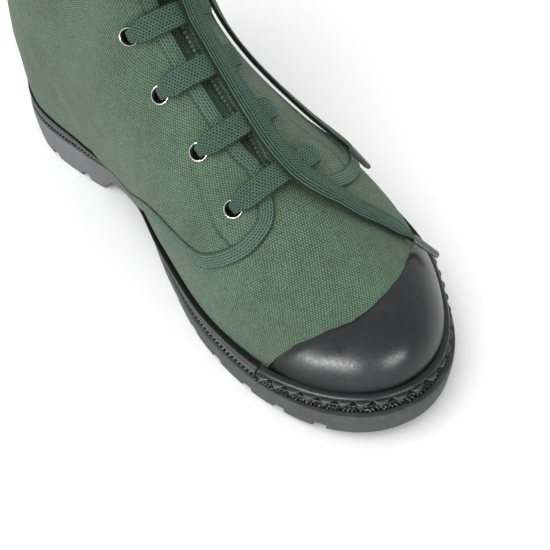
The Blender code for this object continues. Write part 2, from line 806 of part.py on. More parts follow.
def channel_cutter(name, channels, side, group):
    """Lengthwise channel of one side as one bent bar."""
    loops = []
    line = [first for first, _, which in channels if which == side]
    line.append([second for _, second, which in channels if which == side][-1])
    line = np.array(line)
    along = unit(np.gradient(line, axis=0))
    for point, ahead in zip(line, along):
        across = np.array([-ahead[1], ahead[0]]) * 2.0
        top = float(underside(point[0])) + LUG_DEPTH - 0.5
        a = point + across
        b = point - across
        loops.append([(a[0], a[1], -6.0), (b[0], b[1], -6.0), (b[0], b[1], top), (a[0], a[1], top)])
    cutter = sweep(name, loops, None, group, False)
    cutter.hide_render = True
    cutter.display_type = "WIRE"
    return cutter


def build_insole(group):
    """Insole on the outsole's top, inside the upper."""
    ribs = np.array(rib_range(0.0, LAST_RIB))
    inset = np.array([float(rib("inset", np.asarray(s))) for s in ribs]) + WALL + 0.7
    turns = rib_turn(ribs)
    ring = [(k, -1) for k in range(len(ribs))] + [(k, 1) for k in range(len(ribs) - 2, 0, -1)]
    points = []
    for rise in (GAP, GAP + INSOLE_THICK):
        for k, side in ring:
            point, _ = outline(turns[k], side, inset[k])
            points.append((point[0], point[1], float(deck(point[0])) + rise))
    size = len(ring)
    faces = [(j, (j + 1) % size, size + (j + 1) % size, size + j) for j in range(size)]
    for base in (0, size):
        for i in range(len(ribs) - 1):
            cell = []
            for number in (base + i, base + i + 1, base + (size - i - 1) % size, base + (size - i) % size):
                if number not in cell:
                    cell.append(number)
            faces.append(tuple(cell))
    return add_mesh("insole", points, faces, "lining", group)


def front_samples():
    """Dense points of the upper's front: s, t and place on each side."""
    s, t = np.meshgrid(np.linspace(4.2, 10.6, 330), np.linspace(0.3, 1.0, 141), indexing="ij")
    return {side: (s, t, surface(s, t, side)) for side in (-1, 1)}


def ridge_frame(s):
    """Middle of the throat at s, the direction up along it and the direction out of it."""
    middle = 0.5 * (surface(s, 1.0, -1) + surface(s, 1.0, 1))
    ahead = 0.5 * (surface(s + 0.04, 1.0, -1) + surface(s + 0.04, 1.0, 1))
    behind = 0.5 * (surface(s - 0.04, 1.0, -1) + surface(s - 0.04, 1.0, 1))
    along = unit(ahead - behind)
    out = unit(np.cross(along, np.array([0.0, 1.0, 0.0])))
    return middle, along, out if out[2] > 0.0 else -out


def facing_key(samples, s, wide, side):
    """Key of the upper's point straight across from the ridge at s, this far from the middle."""
    middle, along, _ = ridge_frame(s)
    grid_s, grid_t, grid = samples[side]
    miss = np.abs((grid - middle) @ along) + np.abs(grid[..., 1] - middle[1] - side * wide)
    spot = np.unravel_index(np.argmin(miss), miss.shape)
    return (float(grid_s[spot]), float(grid_t[spot]), side)


def build_tongue(samples, group):
    """Tongue under the facings, from below the throat to over the collar."""
    rows = [4.67, 5.1, 5.6, 6.1, 6.6, 7.1, 7.6, 8.0, 8.35, 8.7, 8.95]
    drop = WALL + TONGUE_DROP
    upper_rows = []
    lower_rows = []
    for s in rows:
        middle, along, out = ridge_frame(s)
        widest = float(np.interp(s, TONGUE_PLACES, TONGUE_HALVES))
        inner = max(0.38 * widest, float(rib("gap", np.asarray(s))) + 2.0)
        offsets = (widest, 0.5 * (widest + inner), inner)
        top_line = [middle - out * (drop + 0.8)]
        low_line = [middle - out * (drop + 0.8 + TONGUE_THICK)]
        for side in (-1, 1):
            for wide in offsets[::-1]:
                key = facing_key(samples, s, wide, side)
                spot = len(top_line) if side > 0 else 0
                top_line.insert(spot, skin(key, -drop))
                low_line.insert(spot, skin(key, -drop - TONGUE_THICK))
        upper_rows.append(top_line)
        lower_rows.append(low_line)
    shift = along * TONGUE_RISE
    upper_rows.append([point + shift for point in upper_rows[-1]])
    lower_rows.append([point + shift for point in lower_rows[-1]])
    loops = [top + low[::-1] for top, low in zip(upper_rows, lower_rows)]
    return sweep("tongue", loops, "lining", group, False)


def turned(name, centre, axis, profile, steps, finish, group):
    """Ring turned about an axis. profile rows are radius and height."""
    axis = unit(np.asarray(axis, dtype=float))
    helper = np.array([1.0, 0.0, 0.0]) if abs(axis[0]) < 0.8 else np.array([0.0, 1.0, 0.0])
    first = unit(np.cross(axis, helper))
    second = np.cross(axis, first)
    loops = []
    for k in range(steps):
        angle = 2.0 * math.pi * k / steps
        radial = first * math.cos(angle) + second * math.sin(angle)
        loops.append([np.asarray(centre) + radial * radius + axis * height for radius, height in profile])
    return sweep(name, loops, finish, group, True)


def build_eyelets(samples, group, cutters):
    """Eyelets of both sides, and the cutter of their holes."""
    names = {-1: "medial", 1: "lateral"}
    inside = -WALL - 0.3
    points = []
    faces = []
    for side in (-1, 1):
        for k, (s, wide, flange) in enumerate(EYELET_ROWS):
            profile = ((EYELET_BORE, inside), (EYELET_SHANK, inside), (EYELET_SHANK, flange),
                       (EYELET_RIM, flange), (EYELET_BORE, flange + FLANGE_THICK))
            key = facing_key(samples, s, wide, side)
            centre = surface(*key)
            axis = surface_normal(*key)
            turned("eyelet_%s_%d" % (names[side], k + 1), centre, axis, profile, 8, "metal", group)
            helper = unit(np.cross(axis, np.array([1.0, 0.0, 0.0])))
            other = np.cross(axis, helper)
            start = len(points)
            for height in (-6.0, 6.0):
                for n in range(HOLE_SIDES):
                    angle = 2.0 * math.pi * n / HOLE_SIDES
                    spoke = helper * math.cos(angle) + other * math.sin(angle)
                    points.append(centre + spoke * EYELET_HOLE + axis * height)
            faces.append(tuple(start + n for n in range(HOLE_SIDES)))
            faces.append(tuple(start + HOLE_SIDES + n for n in range(HOLE_SIDES)))
            for n in range(HOLE_SIDES):
                m = (n + 1) % HOLE_SIDES
                faces.append((start + n, start + m, start + HOLE_SIDES + m, start + HOLE_SIDES + n))
    cutter = add_mesh("cut_eyelet_holes", points, faces, None, cutters)
    cutter.hide_render = True
    cutter.display_type = "WIRE"
    return cutter


def strap(name, line, faces_up, width, thick, finish, group):
    """Flat strap along a line. faces_up is the direction of its flat face at each point."""
    line = np.asarray(line, dtype=float)
    along = unit(np.gradient(line, axis=0))
    loops = []
    for point, ahead, up in zip(line, along, faces_up):
        across = unit(np.cross(ahead, up))
        lift = np.cross(across, ahead)
        a = across * width / 2.0
        b = lift * thick / 2.0
        loops.append([point - a - b, point + a - b, point + a + b, point - a + b])
    return sweep(name, loops, finish, group, False)


def build_bars(samples, group):
    """Straight bars of the lace from eyelet to eyelet."""
    for k, (s, wide, lift) in enumerate(EYELET_ROWS[:BAR_COUNT]):
        clear = lift + FLANGE_THICK + LACE_THICK / 2.0 + 2.0 * GAP
        middle, _, out = ridge_frame(s)
        line = [middle + out * clear]
        ups = [out]
        for side in (-1, 1):
            for share in (0.36, 0.68, 1.0):
                key = facing_key(samples, s, wide * share, side)
                spot = len(line) if side > 0 else 0
                line.insert(spot, skin(key, clear))
                ups.insert(spot, surface_normal(*key))
        strap("lace_bar_%d" % (k + 1), line, ups, LACE_WIDTH, LACE_THICK, "lace", group)


def lace_route(rows, count):
    """Even points of a lace end over the upper, and the direction of its flat face."""
    points = np.array([skin((s, t, side), lift) for s, t, side, lift in rows])
    normals = np.array([surface_normal(s, t, side) for s, t, side, _ in rows])
    length = np.concatenate([[0.0], np.cumsum(np.linalg.norm(np.diff(points, axis=0), axis=1))])
    at = np.linspace(0.0, length[-1], count)
    line = np.stack([through(length, points[:, c], at) for c in range(3)], axis=-1)
    ups = unit(np.stack([through(length, normals[:, c], at) for c in range(3)], axis=-1))
    return line, ups


def build_ends(samples, group):
    """Both ends of the lace, from the top eyelets, and their tips."""
    start_lift = EYELET_ROWS[-1][2] + FLANGE_THICK + LACE_THICK / 2.0 + 2.0 * GAP
    for label, side, rows, count in (("medial", -1, END_MEDIAL_ROUTE, 27),
                                     ("lateral", 1, END_LATERAL_ROUTE, 21)):
        first = facing_key(samples, EYELET_ROWS[-1][0], EYELET_ROWS[-1][1], side)
        line, ups = lace_route((first + (start_lift,),) + rows, count)
        strap("lace_end_" + label, line, ups, LACE_WIDTH, LACE_THICK, "lace", group)
        ahead = unit(line[-1] - line[-2])
        start = line[-1] + ahead * GAP
        helper = unit(np.cross(ahead, ups[-1]))
        other = np.cross(ahead, helper)
        loops = []
        for distance in (0.0, AGLET_LENGTH):
            ring = []
            for k in range(8):
                angle = 2.0 * math.pi * k / 8
                spoke = helper * math.cos(angle) + other * math.sin(angle)
                ring.append(start + ahead * distance + spoke * AGLET_RADIUS)
            loops.append(ring)
        sweep("aglet_" + label, loops, "tip", group, False)


def build_boot():
    """All pieces of the boot."""
    clear_scene()
    group = make_collection(OBJECT_NAME)
    cutters = make_collection(OBJECT_NAME + "_cutters")
    outsole = build_outsole(group)
    rim_cutter, channels, centre_cutter = tread_cutters(cutters)
    cut(outsole, rim_cutter, "rim_grooves")
    for side, label in ((-1, "medial"), (1, "lateral")):
        channel = channel_cutter("cut_channel_" + label, channels, side, cutters)
        cut(outsole, channel, "channel_" + label)
    cut(outsole, centre_cutter, "centre_grooves")
    build_band(group)
    build_bumper(group)
    build_cap(group)
    upper = build_upper(group)
    panels = [build_panel("quarter_medial", -1, group), build_panel("quarter_lateral", 1, group)]
    build_tape("binding_medial", -1, group)
    build_tape("binding_lateral", 1, group)
    samples = front_samples()
    build_tongue(samples, group)
    build_insole(group)
    holes = build_eyelets(samples, group, cutters)
    for item in [upper] + panels:
        cut(item, holes, "eyelet_holes")
    build_bars(samples, group)
    build_ends(samples, group)


build_boot()
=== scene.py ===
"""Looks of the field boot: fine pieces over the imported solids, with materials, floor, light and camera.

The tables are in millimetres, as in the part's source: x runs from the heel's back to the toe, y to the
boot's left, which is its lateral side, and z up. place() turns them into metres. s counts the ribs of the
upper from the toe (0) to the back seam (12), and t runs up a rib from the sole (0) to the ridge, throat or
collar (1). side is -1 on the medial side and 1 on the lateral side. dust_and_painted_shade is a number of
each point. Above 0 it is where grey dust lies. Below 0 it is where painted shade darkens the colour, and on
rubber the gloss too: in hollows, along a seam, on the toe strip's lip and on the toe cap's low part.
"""

import math
from contextlib import contextmanager

import bmesh
import bpy
import numpy as np
from mathutils import Matrix


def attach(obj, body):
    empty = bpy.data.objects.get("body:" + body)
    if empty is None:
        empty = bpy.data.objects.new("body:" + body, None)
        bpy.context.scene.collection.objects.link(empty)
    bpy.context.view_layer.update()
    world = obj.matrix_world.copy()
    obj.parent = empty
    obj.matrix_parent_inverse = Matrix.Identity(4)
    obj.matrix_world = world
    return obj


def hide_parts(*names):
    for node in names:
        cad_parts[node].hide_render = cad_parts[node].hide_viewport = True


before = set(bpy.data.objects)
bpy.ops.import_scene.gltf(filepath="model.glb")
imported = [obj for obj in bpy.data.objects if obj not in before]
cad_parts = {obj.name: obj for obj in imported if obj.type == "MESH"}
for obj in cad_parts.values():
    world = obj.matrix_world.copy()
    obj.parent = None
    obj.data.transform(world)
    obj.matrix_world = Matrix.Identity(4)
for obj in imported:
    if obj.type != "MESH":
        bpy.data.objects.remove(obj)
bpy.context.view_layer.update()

MM = 0.001
TINY = 1e-6
OPAQUE = (1.0,)
SIDE_NAMES = {-1: "medial", 1: "lateral"}

# Lengths of the boot, its wall and the gap between pieces.
LENGTH = 300.0
TOE_BLUNT = 2.2
BLUNT_FROM = 0.86
CENTRE = ((LENGTH - TOE_BLUNT) / 2.0, -0.95, 0.0)
SHAFT_MIDDLE = 66.0
WALL = 1.8
GAP = 0.3
FOOT_INSET = 4.8
CLOTH_STEP = 1.5

# Ribs where the toe's turned ribs, the cap, the strip, the band, the throat and the collar start or end.
TURNED_RIBS = 3.0
CAP_RIB = 3.1
STRIP_RIB = 3.17
BAND_RIB = 3.195
THROAT_RIB = 5.0
COLLAR_RIB = 9.0

# Quarter panel: tape, tuck under the band, offset from the upper, inset, dense ribs, lift at the collar.
TAPE_WIDTH = 7.0
TAPE_START = 0.01
BAND_TUCK = 8.8
PANEL_TOP = 1.35
PANEL_INSET = 2.0
PANEL_DENSE_RIBS = 0.6
COLLAR_LIFT = 0.9
LIFT_FROM = 7.8
LIFT_RIBS = 0.6

# Tread: depth, width and reach of its grooves, how far cutters stick out, ends and half width of a channel.
LUG_DEPTH = 4.5
GROOVE_WIDTH = 5.5
GROOVE_REACH = 21.0
CUT_BELOW = -6.0
CUT_OUTSIDE = 5.0
CHANNEL_FROM = 150.0
CHANNEL_TO = 262.0
CHANNEL_HALF = 2.0

# Lace: its section, its size where it is bunched in an eyelet or held in a tip, its height over an eyelet.
LACE_WIDTH = 10.0
LACE_THICK = 2.2
LACE_COLUMNS = 37
LACE_EDGE_FALL = 0.62
LACE_RIB_HEIGHT = 0.10
LACE_RIB_TURNS = 3.5
BUNCH_WIDTH = 5.2
BAR_BUNCH = 3.4
END_BUNCH = 3.2
TIP_LACE_WIDTH = 4.4
TIP_LACE_THICK = 2.4
BAR_CLEAR = 2.3

# Lines of the laces: steps along a bar and an end, rise of an end's first stops, points that carry its turn.
BAR_STEP = 0.8
END_STEP = 1.0
END_START = (-2.0, 0.4)
CARRIED_POINTS = 12

# Holes for the eyelets: radius, and how far along its axis an eyelet cuts the cloth.
HOLE_RADIUS = 3.1
HOLE_REACH = 8.0

# Stretches along the lace, from and to, in which it opens from an eyelet, closes to one or to its tip.
BAR_OPENS = (2.0, 10.0)
BAR_CLOSES = (2.6, 7.0)
END_OPENS = (2.0, 11.0)
BUNCH_ENDS = (1.5, 9.0)
TIP_CLOSES = (0.0, 9.0)

# Tip of a lace: length, overlap, start of width and thickness, how much both lose, pinch, end rings.
AGLET_LENGTH = 13.0
TIP_OVERLAP = 0.6
TIP_WIDTH = 4.6
TIP_THICK = 2.9
TIP_WIDTH_LOSS = 0.9
TIP_THICK_LOSS = 0.7
PINCH_DEPTH = 0.22
PINCH_AT = 2.5
PINCH_HALF = 0.7
TIP_END_SHARES = (0.86, 0.82)

# Camera: place in millimetres of the tables, turn round the boot, height and roll in degrees, focal length.
CAMERA_PLACE = (413.468, -168.493, 367.282)
CAMERA_TURN = 53.22
CAMERA_HEIGHT = 53.31
CAMERA_ROLL = -4.90
CAMERA_FOCAL_PX = 953.114
IMAGE_WIDTH_PX = 550.0
SENSOR_WIDTH = 36.0

# Soft boxes: name, place, width and height in metres, watts, the setting that hides it from some rays.
LIGHT_ROWS = (
    ("key", (0.12, -0.70, 1.36), 1.40, 1.40, 17.0, "visible_glossy"),
    ("front", (0.98, -0.24, 0.20), 0.50, 0.20, 5.4, "visible_diffuse"),
    ("medial", (0.31, -0.86, 0.13), 0.64, 0.12, 11.0, "visible_diffuse"),
)
LIGHT_TARGET = (0.06, -0.01, 0.04)
FLOOR_HALF = 3.0
FLOOR_COLOUR = (0.93, 0.93, 0.93)
SURROUND_STRENGTH = 0.80

# Outline of the sole: share of the length, offset of its middle, half width.
SOLE_ROWS = (
    (0.00, -0.5, 0.0),
    (0.05, -0.6, 24.6),
    (0.15, -0.9, 37.7),
    (0.28, 0.3, 35.8),
    (0.35, 2.6, 33.8),
    (0.42, 2.4, 35.7),
    (0.54, 1.3, 46.2),
    (0.66, -0.4, 54.0),
    (0.77, -2.3, 53.2),
    (0.87, -5.6, 44.2),
    (0.95, -7.8, 29.3),
    (1.00, -8.4, 0.0),
)

# Heights of the outsole: share of the length, its underside, its top.
HEIGHT_ROWS = (
    (0.00, 0.0, 21.0),
    (0.25, 0.0, 20.5),
    (0.302, 0.0, 19.3),
    (0.324, 8.0, 18.6),
    (0.40, 8.0, 16.5),
    (0.50, 2.0, 15.0),
    (0.55, 0.0, 14.2),
    (0.74, 0.0, 14.0),
    (0.87, 3.0, 17.0),
    (1.00, 10.0, 24.0),
)

# Places along the boot that get a section of their own, at the breast of the heel.
HEEL_BREAST = (90.6, 94.0, 97.2)

# Ribs of the upper, from the toe to the back seam.
RIB_COLUMNS = ("foot", "top_x", "top_y", "gap", "top_z", "swing", "drop", "rise", "flare_medial",
               "flare_lateral", "crown", "inset", "tuck")
RIB_ROWS = (
    (1.000, 277.0, -8.0, 0.0, 52.0, 0.0, 0.0, 15.0, 1.0, 1.0, 9.0, 8.0, 0.0),
    (0.955, 275.0, -8.0, 0.0, 52.7, 42.0, 0.0, 14.5, 2.0, 2.0, 15.0, 8.0, 0.0),
    (0.890, 272.0, -8.0, 0.0, 53.6, 75.0, 0.0, 14.0, 3.0, 3.0, 22.0, 7.6, 0.0),
    (0.813, 267.0, -8.0, 0.0, 55.0, 90.0, 0.0, 17.0, 4.0, 5.0, 25.5, 6.0, 0.0),
    (0.720, 240.0, -8.5, 0.0, 65.0, 90.0, 0.0, 27.0, 4.0, 6.5, 30.0, 4.8, 0.0),
    (0.630, 205.0, -8.5, 0.0, 80.0, 90.0, 2.0, 36.0, 7.0, 6.0, 33.0, 4.8, 0.0),
    (0.555, 186.0, -8.5, 2.5, 90.0, 90.0, 9.0, 37.0, 13.0, 6.0, 34.0, 4.8, 0.0),
    (0.455, 162.0, -7.5, 2.5, 106.0, 90.0, 18.0, 38.0, 20.0, 7.0, 36.0, 4.8, 0.0),
    (0.350, 139.0, -5.0, 3.0, 125.0, 90.0, 32.0, 40.0, 27.0, 7.0, 40.0, 4.8, 0.0),
    (0.260, 121.0, -3.0, 8.0, 163.0, 90.0, 66.0, 44.0, 15.0, 6.0, 55.0, 4.8, 0.0),
    (0.140, 68.0, 0.0, 37.0, 161.0, 90.0, 90.0, 42.0, 6.0, 6.0, 87.0, 4.8, 5.0),
    (0.030, 23.0, 0.0, 24.0, 159.0, 90.0, 90.0, 42.0, 6.0, 6.0, 76.0, 4.8, 7.0),
    (0.000, 12.0, 0.0, 0.0, 158.0, 90.0, 90.0, 42.0, 6.0, 6.0, 52.0, 4.8, 8.0),
)
LAST_RIB = len(RIB_ROWS) - 1.0

# Edge of the quarter panel and its tape, from the sole round the front of the tab to the throat: s, t.
QUARTER_EDGE = (
    (7.40, 0.080),
    (7.22, 0.108),
    (7.05, 0.142),
    (6.88, 0.182),
    (6.70, 0.232),
    (6.51, 0.282),
    (6.28, 0.326),
    (6.01, 0.347),
    (5.67, 0.353),
    (5.34, 0.360),
    (5.02, 0.374),
    (4.80, 0.400),
    (4.66, 0.445),
    (4.56, 0.510),
    (4.49, 0.595),
    (4.47, 0.690),
    (4.52, 0.800),
    (4.62, 0.880),
    (4.80, 0.935),
    (5.09, 0.975),
    (5.40, 1.000),
)

# Section of the tape: distance from its outer edge, height over the upper.
TAPE_ROWS = (
    (0.00, 0.05),
    (0.00, 0.75),
    (0.25, 1.25),
    (0.80, 1.65),
    (1.60, 1.85),
    (2.60, 1.98),
    (3.60, 2.05),
    (4.60, 2.08),
    (5.50, 2.06),
    (6.20, 2.00),
    (6.65, 1.85),
    (6.92, 1.60),
    (7.00, 1.20),
)
TAPE_INSIDE_ROWS = ((4.5, -2.25), (2.2, -2.35), (0.5, -2.25), (0.0, -1.60))

# Side profile of the outsole: share of its height, inset from the rim.
RIM_ROWS = (
    (0.00, 1.10),
    (0.03, 0.75),
    (0.10, 0.55),
    (0.40, 0.20),
    (0.64, 0.00),
    (0.79, 0.00),
    (0.93, 0.05),
    (0.98, 0.25),
    (1.00, 0.60),
)

# Section of the side band: height over the outsole, offset from the upper, share of the knurl's teeth.
BAND_ROWS = (
    (-0.25, 2.90, 0.0),
    (0.05, 3.15, 0.0),
    (0.35, 3.20, 0.5),
    (0.75, 3.25, 1.0),
    (1.35, 3.30, 1.0),
    (1.95, 3.25, 1.0),
    (2.45, 3.10, 0.6),
    (2.85, 2.55, 0.0),
    (3.20, 2.45, 0.0),
    (3.50, 2.75, 0.0),
    (4.00, 3.05, 0.0),
    (5.30, 3.20, 0.0),
    (6.50, 3.15, 0.0),
    (7.10, 2.95, 0.0),
    (7.45, 2.50, 0.0),
    (7.70, 2.40, 0.0),
    (7.95, 2.65, 0.0),
    (8.40, 2.90, 0.0),
    (9.20, 2.85, 0.0),
    (9.80, 2.60, 0.0),
    (10.10, 2.20, 0.0),
    (10.25, 1.60, 0.0),
    (10.30, 0.20, 0.0),
)
KNURL_PITCH = 2.4
KNURL_DEPTH = 0.55

# Dust and painted shade of the side band, dust above 0 and painted shade below: its faces, its grooves, its
# teeth, their gaps.
BAND_DUST = 0.45
GROOVE_SHADE = -0.75
KNURL_SHADE = -0.15
KNURL_GAP_SHADE = -0.95

# Grooves of the tread at the rim: place along the boot, lean toward the toe in degrees.
TREAD_ROWS = (
    (30.0, -12.0),
    (54.5, 0.0),
    (78.0, 10.0),
    (174.5, -12.0),
    (194.0, -8.0),
    (213.0, 0.0),
    (233.0, 6.0),
    (251.0, 10.0),
    (270.0, 14.0),
)
CENTRE_GROOVES = (165.0, 191.0, 217.0, 243.0)

# Eyelets of one side, from the toe end: place along the ridge as s, distance from the middle line, lift.
EYELET_ROWS = (
    (5.00, 19.9, 2.0),
    (6.17, 17.0, 2.0),
    (7.10, 16.5, 2.0),
    (7.93, 16.5, 2.0),
    (8.60, 16.5, 3.1),
)
BAR_COUNT = 4

# Routes of the two lace ends over the upper: s, t, side, lift of the middle line.
END_MEDIAL_ROUTE = (
    (8.50, 0.960, -1, 7.0),
    (8.20, 0.995, 1, 7.0),
    (7.80, 0.985, 1, 6.6),
    (7.40, 0.975, 1, 6.6),
    (7.00, 0.970, 1, 6.6),
    (6.60, 0.968, 1, 6.6),
    (6.17, 0.968, 1, 6.6),
    (5.80, 0.966, 1, 6.6),
    (5.29, 0.951, 1, 7.2),
    (4.85, 0.932, 1, 7.0),
    (4.60, 0.886, 1, 5.6),
    (4.41, 0.824, 1, 3.8),
    (4.20, 0.762, 1, 2.3),
    (3.89, 0.670, 1, 2.2),
    (3.62, 0.603, 1, 2.6),
    (3.39, 0.560, 1, 3.6),
)
END_LATERAL_ROUTE = (
    (8.50, 0.800, 1, 4.4),
    (8.20, 0.735, 1, 4.0),
    (7.80, 0.680, 1, 3.8),
    (7.30, 0.630, 1, 3.8),
    (6.80, 0.590, 1, 3.8),
    (6.30, 0.555, 1, 3.8),
    (5.85, 0.530, 1, 3.8),
    (5.40, 0.512, 1, 3.8),
    (5.03, 0.514, 1, 4.2),
    (4.81, 0.540, 1, 5.0),
)

# Soft troughs and ridges of the upper: side, s and t of both ends, height (below 0 is a trough), half width.
FOLD_ROWS = (
    (-1, 9.60, 0.42, 8.00, 0.17, 0.9, 7.0),
    (-1, 9.20, 0.30, 8.30, 0.12, -0.8, 6.0),
    (-1, 4.55, 0.90, 4.05, 0.62, -0.5, 7.0),
    (1, 4.30, 0.92, 3.85, 0.60, -0.5, 7.0),
    (1, 9.60, 0.44, 8.20, 0.20, 0.8, 8.0),
    (1, 9.90, 0.34, 8.60, 0.14, -0.8, 7.0),
    (-1, 10.90, 0.62, 9.60, 0.50, -0.9, 9.0),
    (1, 10.90, 0.62, 9.60, 0.52, -0.9, 9.0),
    (-1, 11.60, 0.46, 10.40, 0.36, 0.8, 9.0),
    (1, 11.60, 0.46, 10.40, 0.36, 0.8, 9.0),
    (-1, 5.75, 0.62, 5.05, 0.42, 0.5, 8.0),
)


def table(rows, column):
    """One column of a table as an array."""
    return np.array([row[column] for row in rows], dtype=float)


def through(places, values, at, level=False):
    """Smooth curve through the rows of a table. level keeps it from overshooting."""
    steps = np.diff(values) / np.diff(places)
    if level:
        slopes = np.zeros(len(places))
        slopes[0] = steps[0]
        slopes[-1] = steps[-1]
        both = steps[:-1] + steps[1:]
        same = steps[:-1] * steps[1:] > 0.0
        slopes[1:-1] = np.where(same, 2.0 * steps[:-1] * steps[1:] / np.where(same, both, 1.0), 0.0)
    else:
        slopes = np.gradient(values, places)
    index = np.clip(np.searchsorted(places, at, side="right") - 1, 0, len(places) - 2)
    span = places[index + 1] - places[index]
    u = (at - places[index]) / span
    first = (1.0 + 2.0 * u) * (1.0 - u) ** 2 * values[index] + u * (1.0 - u) ** 2 * span * slopes[index]
    second = u * u * (3.0 - 2.0 * u) * values[index + 1] + u * u * (u - 1.0) * span * slopes[index + 1]
    return first + second


def unit(vectors):
    """Vectors of length one."""
    return vectors / np.maximum(np.linalg.norm(vectors, axis=-1, keepdims=True), 1e-12)


def smooth_step(value, first, last):
    """0 before first, 1 after last, and a soft slope between them."""
    share = np.clip((np.asarray(value, dtype=float) - first) / (last - first), 0.0, 1.0)
    return share * share * (3.0 - 2.0 * share)


def run_length(line):
    """Length along a line of points up to each of them."""
    return np.concatenate([[0.0], np.cumsum(np.linalg.norm(np.diff(line, axis=0), axis=1))])


SOLE_TURN = np.arccos(1.0 - 2.0 * table(SOLE_ROWS, 0))
SOLE_MIDDLE = table(SOLE_ROWS, 1)
SOLE_HALF = table(SOLE_ROWS, 2)
HEIGHT_X = table(HEIGHT_ROWS, 0) * LENGTH
HEIGHT_LOW = table(HEIGHT_ROWS, 1)
HEIGHT_TOP = table(HEIGHT_ROWS, 2)
RIB_NUMBER = np.arange(len(RIB_ROWS), dtype=float)
RIB = {name: table(RIB_ROWS, k) for k, name in enumerate(RIB_COLUMNS)}
RIB_TURN = np.arccos(1.0 - 2.0 * RIB["foot"])


def place(points):
    """Millimetres of the tables to metres of the scene, origin under the middle of the boot."""
    return (np.asarray(points, dtype=float) - np.array(CENTRE)) * MM


def outline_point(turn, side):
    """Point of the sole's outline. turn is 0 at the heel's back and pi at the toe."""
    share = (1.0 - np.cos(turn)) / 2.0
    x = LENGTH * share - TOE_BLUNT * np.maximum((share - BLUNT_FROM) / (1.0 - BLUNT_FROM), 0.0) ** 2
    y = through(SOLE_TURN, SOLE_MIDDLE, turn) + side * through(SOLE_TURN, SOLE_HALF, turn)
    return np.stack([x, y], axis=-1)


def outline(turn, side, inset):
    """Point of the outline moved in by inset, and the direction out of the sole there."""
    turn = np.asarray(turn, dtype=float)
    small = 0.001
    ahead = outline_point(np.minimum(turn + small, math.pi), side)
    behind = outline_point(np.maximum(turn - small, 0.0), side)
    along = ahead - behind
    out = unit(np.stack([-along[..., 1], along[..., 0]], axis=-1) * side)
    out = np.where((turn > math.pi - TINY)[..., None], np.array([1.0, 0.0]), out)
    out = np.where((turn < TINY)[..., None], np.array([-1.0, 0.0]), out)
    point = outline_point(turn, side) - out * np.asarray(inset, dtype=float)[..., None]
    return point, out


def underside(x):
    """Height of the outsole's lowest face."""
    return through(HEIGHT_X, HEIGHT_LOW, np.clip(x, 0.0, LENGTH), level=True)


def deck(x):
    """Height of the outsole's top face."""
    return through(HEIGHT_X, HEIGHT_TOP, np.clip(x, 0.0, LENGTH), level=True)


def rib(name, s):
    """One column of the rib table at a rib number between the rows."""
    return through(RIB_NUMBER, RIB[name], s, level=(name == "gap"))


def rib_turn(s):
    """Turn of the sole's outline where a rib starts."""
    return np.clip(through(RIB_NUMBER, RIB_TURN, s), 0.0, math.pi)


def surface(s, t, side):
    """Outer face of the upper at rib s and height t."""
    s = np.asarray(s, dtype=float)
    t = np.asarray(t, dtype=float)[..., None]
    foot, out = outline(rib_turn(s), side, rib("inset", s))
    flare = rib("flare_medial", s) if side < 0 else rib("flare_lateral", s)
    start = np.stack([foot[..., 0], foot[..., 1], deck(foot[..., 0]) + GAP], axis=-1)
    lift = start + np.stack([out[..., 0] * flare, out[..., 1] * flare, rib("rise", s)], axis=-1)
    gap = rib("gap", s)
    top = np.stack([rib("top_x", s), rib("top_y", s) + side * gap, rib("top_z", s)], axis=-1)
    small = 0.02
    before = np.clip(s - small, 0.0, LAST_RIB)
    after = np.clip(s + small, 0.0, LAST_RIB)
    run = rib("top_x", after) - rib("top_x", before)
    slope = (rib("top_z", after) - rib("top_z", before)) / np.where(np.abs(run) < TINY, TINY, run)
    swing = np.radians(rib("swing", s))
    drop = np.radians(rib("drop", s))
    forward = np.where(s < TURNED_RIBS, np.cos(swing), 0.0)
    lean = np.stack([forward * np.cos(drop), side * np.sin(swing) * np.cos(drop),
                     forward * slope - np.sin(drop)], axis=-1)
    shoulder = top + (rib("crown", s) - gap)[..., None] * lean
    away = unit(np.stack([top[..., 0] - SHAFT_MIDDLE, top[..., 1], np.zeros_like(gap)], axis=-1))
    shoulder = shoulder - away * rib("tuck", s)[..., None]
    low = (1.0 - t) ** 3 * start + 3.0 * t * (1.0 - t) ** 2 * lift
    return low + 3.0 * t * t * (1.0 - t) * shoulder + t ** 3 * top


def surface_normal(s, t, side):
    """Direction out of the upper."""
    s = np.clip(np.asarray(s, dtype=float), 0.03, LAST_RIB - 0.03)
    t = np.clip(np.asarray(t, dtype=float), 0.012, 0.988)
    small = 0.002
    along = surface(s + small, t, side) - surface(s - small, t, side)
    upward = surface(s, t + small, side) - surface(s, t - small, side)
    return unit(np.cross(along, upward) * side)


def fold_lines():
    """Points along each fold, with its height and half width."""
    lines = []
    for side, s_a, t_a, s_b, t_b, height, wide in FOLD_ROWS:
        share = np.linspace(0.0, 1.0, 24)
        line = surface(s_a + (s_b - s_a) * share, t_a + (t_b - t_a) * share, side)
        lines.append((line, height, wide))
    return lines


FOLD_LINES = fold_lines()


def folds(points):
    """Height of the listed folds at points of the upper."""
    flat = points.reshape(-1, 3)
    total = np.zeros(len(flat))
    for line, height, wide in FOLD_LINES:
        near = np.full(len(flat), 1e9)
        for spot in line:
            near = np.minimum(near, np.sum((flat - spot) ** 2, axis=-1))
        total += height * np.exp(-near / (wide * wide))
    return total.reshape(points.shape[:-1])


def skin(s, t, side, offset):
    """Points at an offset from the upper, folds included, that both sides share on the middle line."""
    s, t = np.broadcast_arrays(np.asarray(s, dtype=float), np.asarray(t, dtype=float))
    base = surface(s, t, side)
    normal = surface_normal(s, t, side)
    middle = (s < TINY) | (s > LAST_RIB - TINY) | ((t > 1.0 - TINY) & (s < THROAT_RIB + TINY))
    if np.any(middle):
        both = unit(normal + surface_normal(s, t, -side))
        normal = np.where(middle[..., None], both, normal)
    return base + normal * (np.asarray(offset, dtype=float) + folds(base))[..., None]


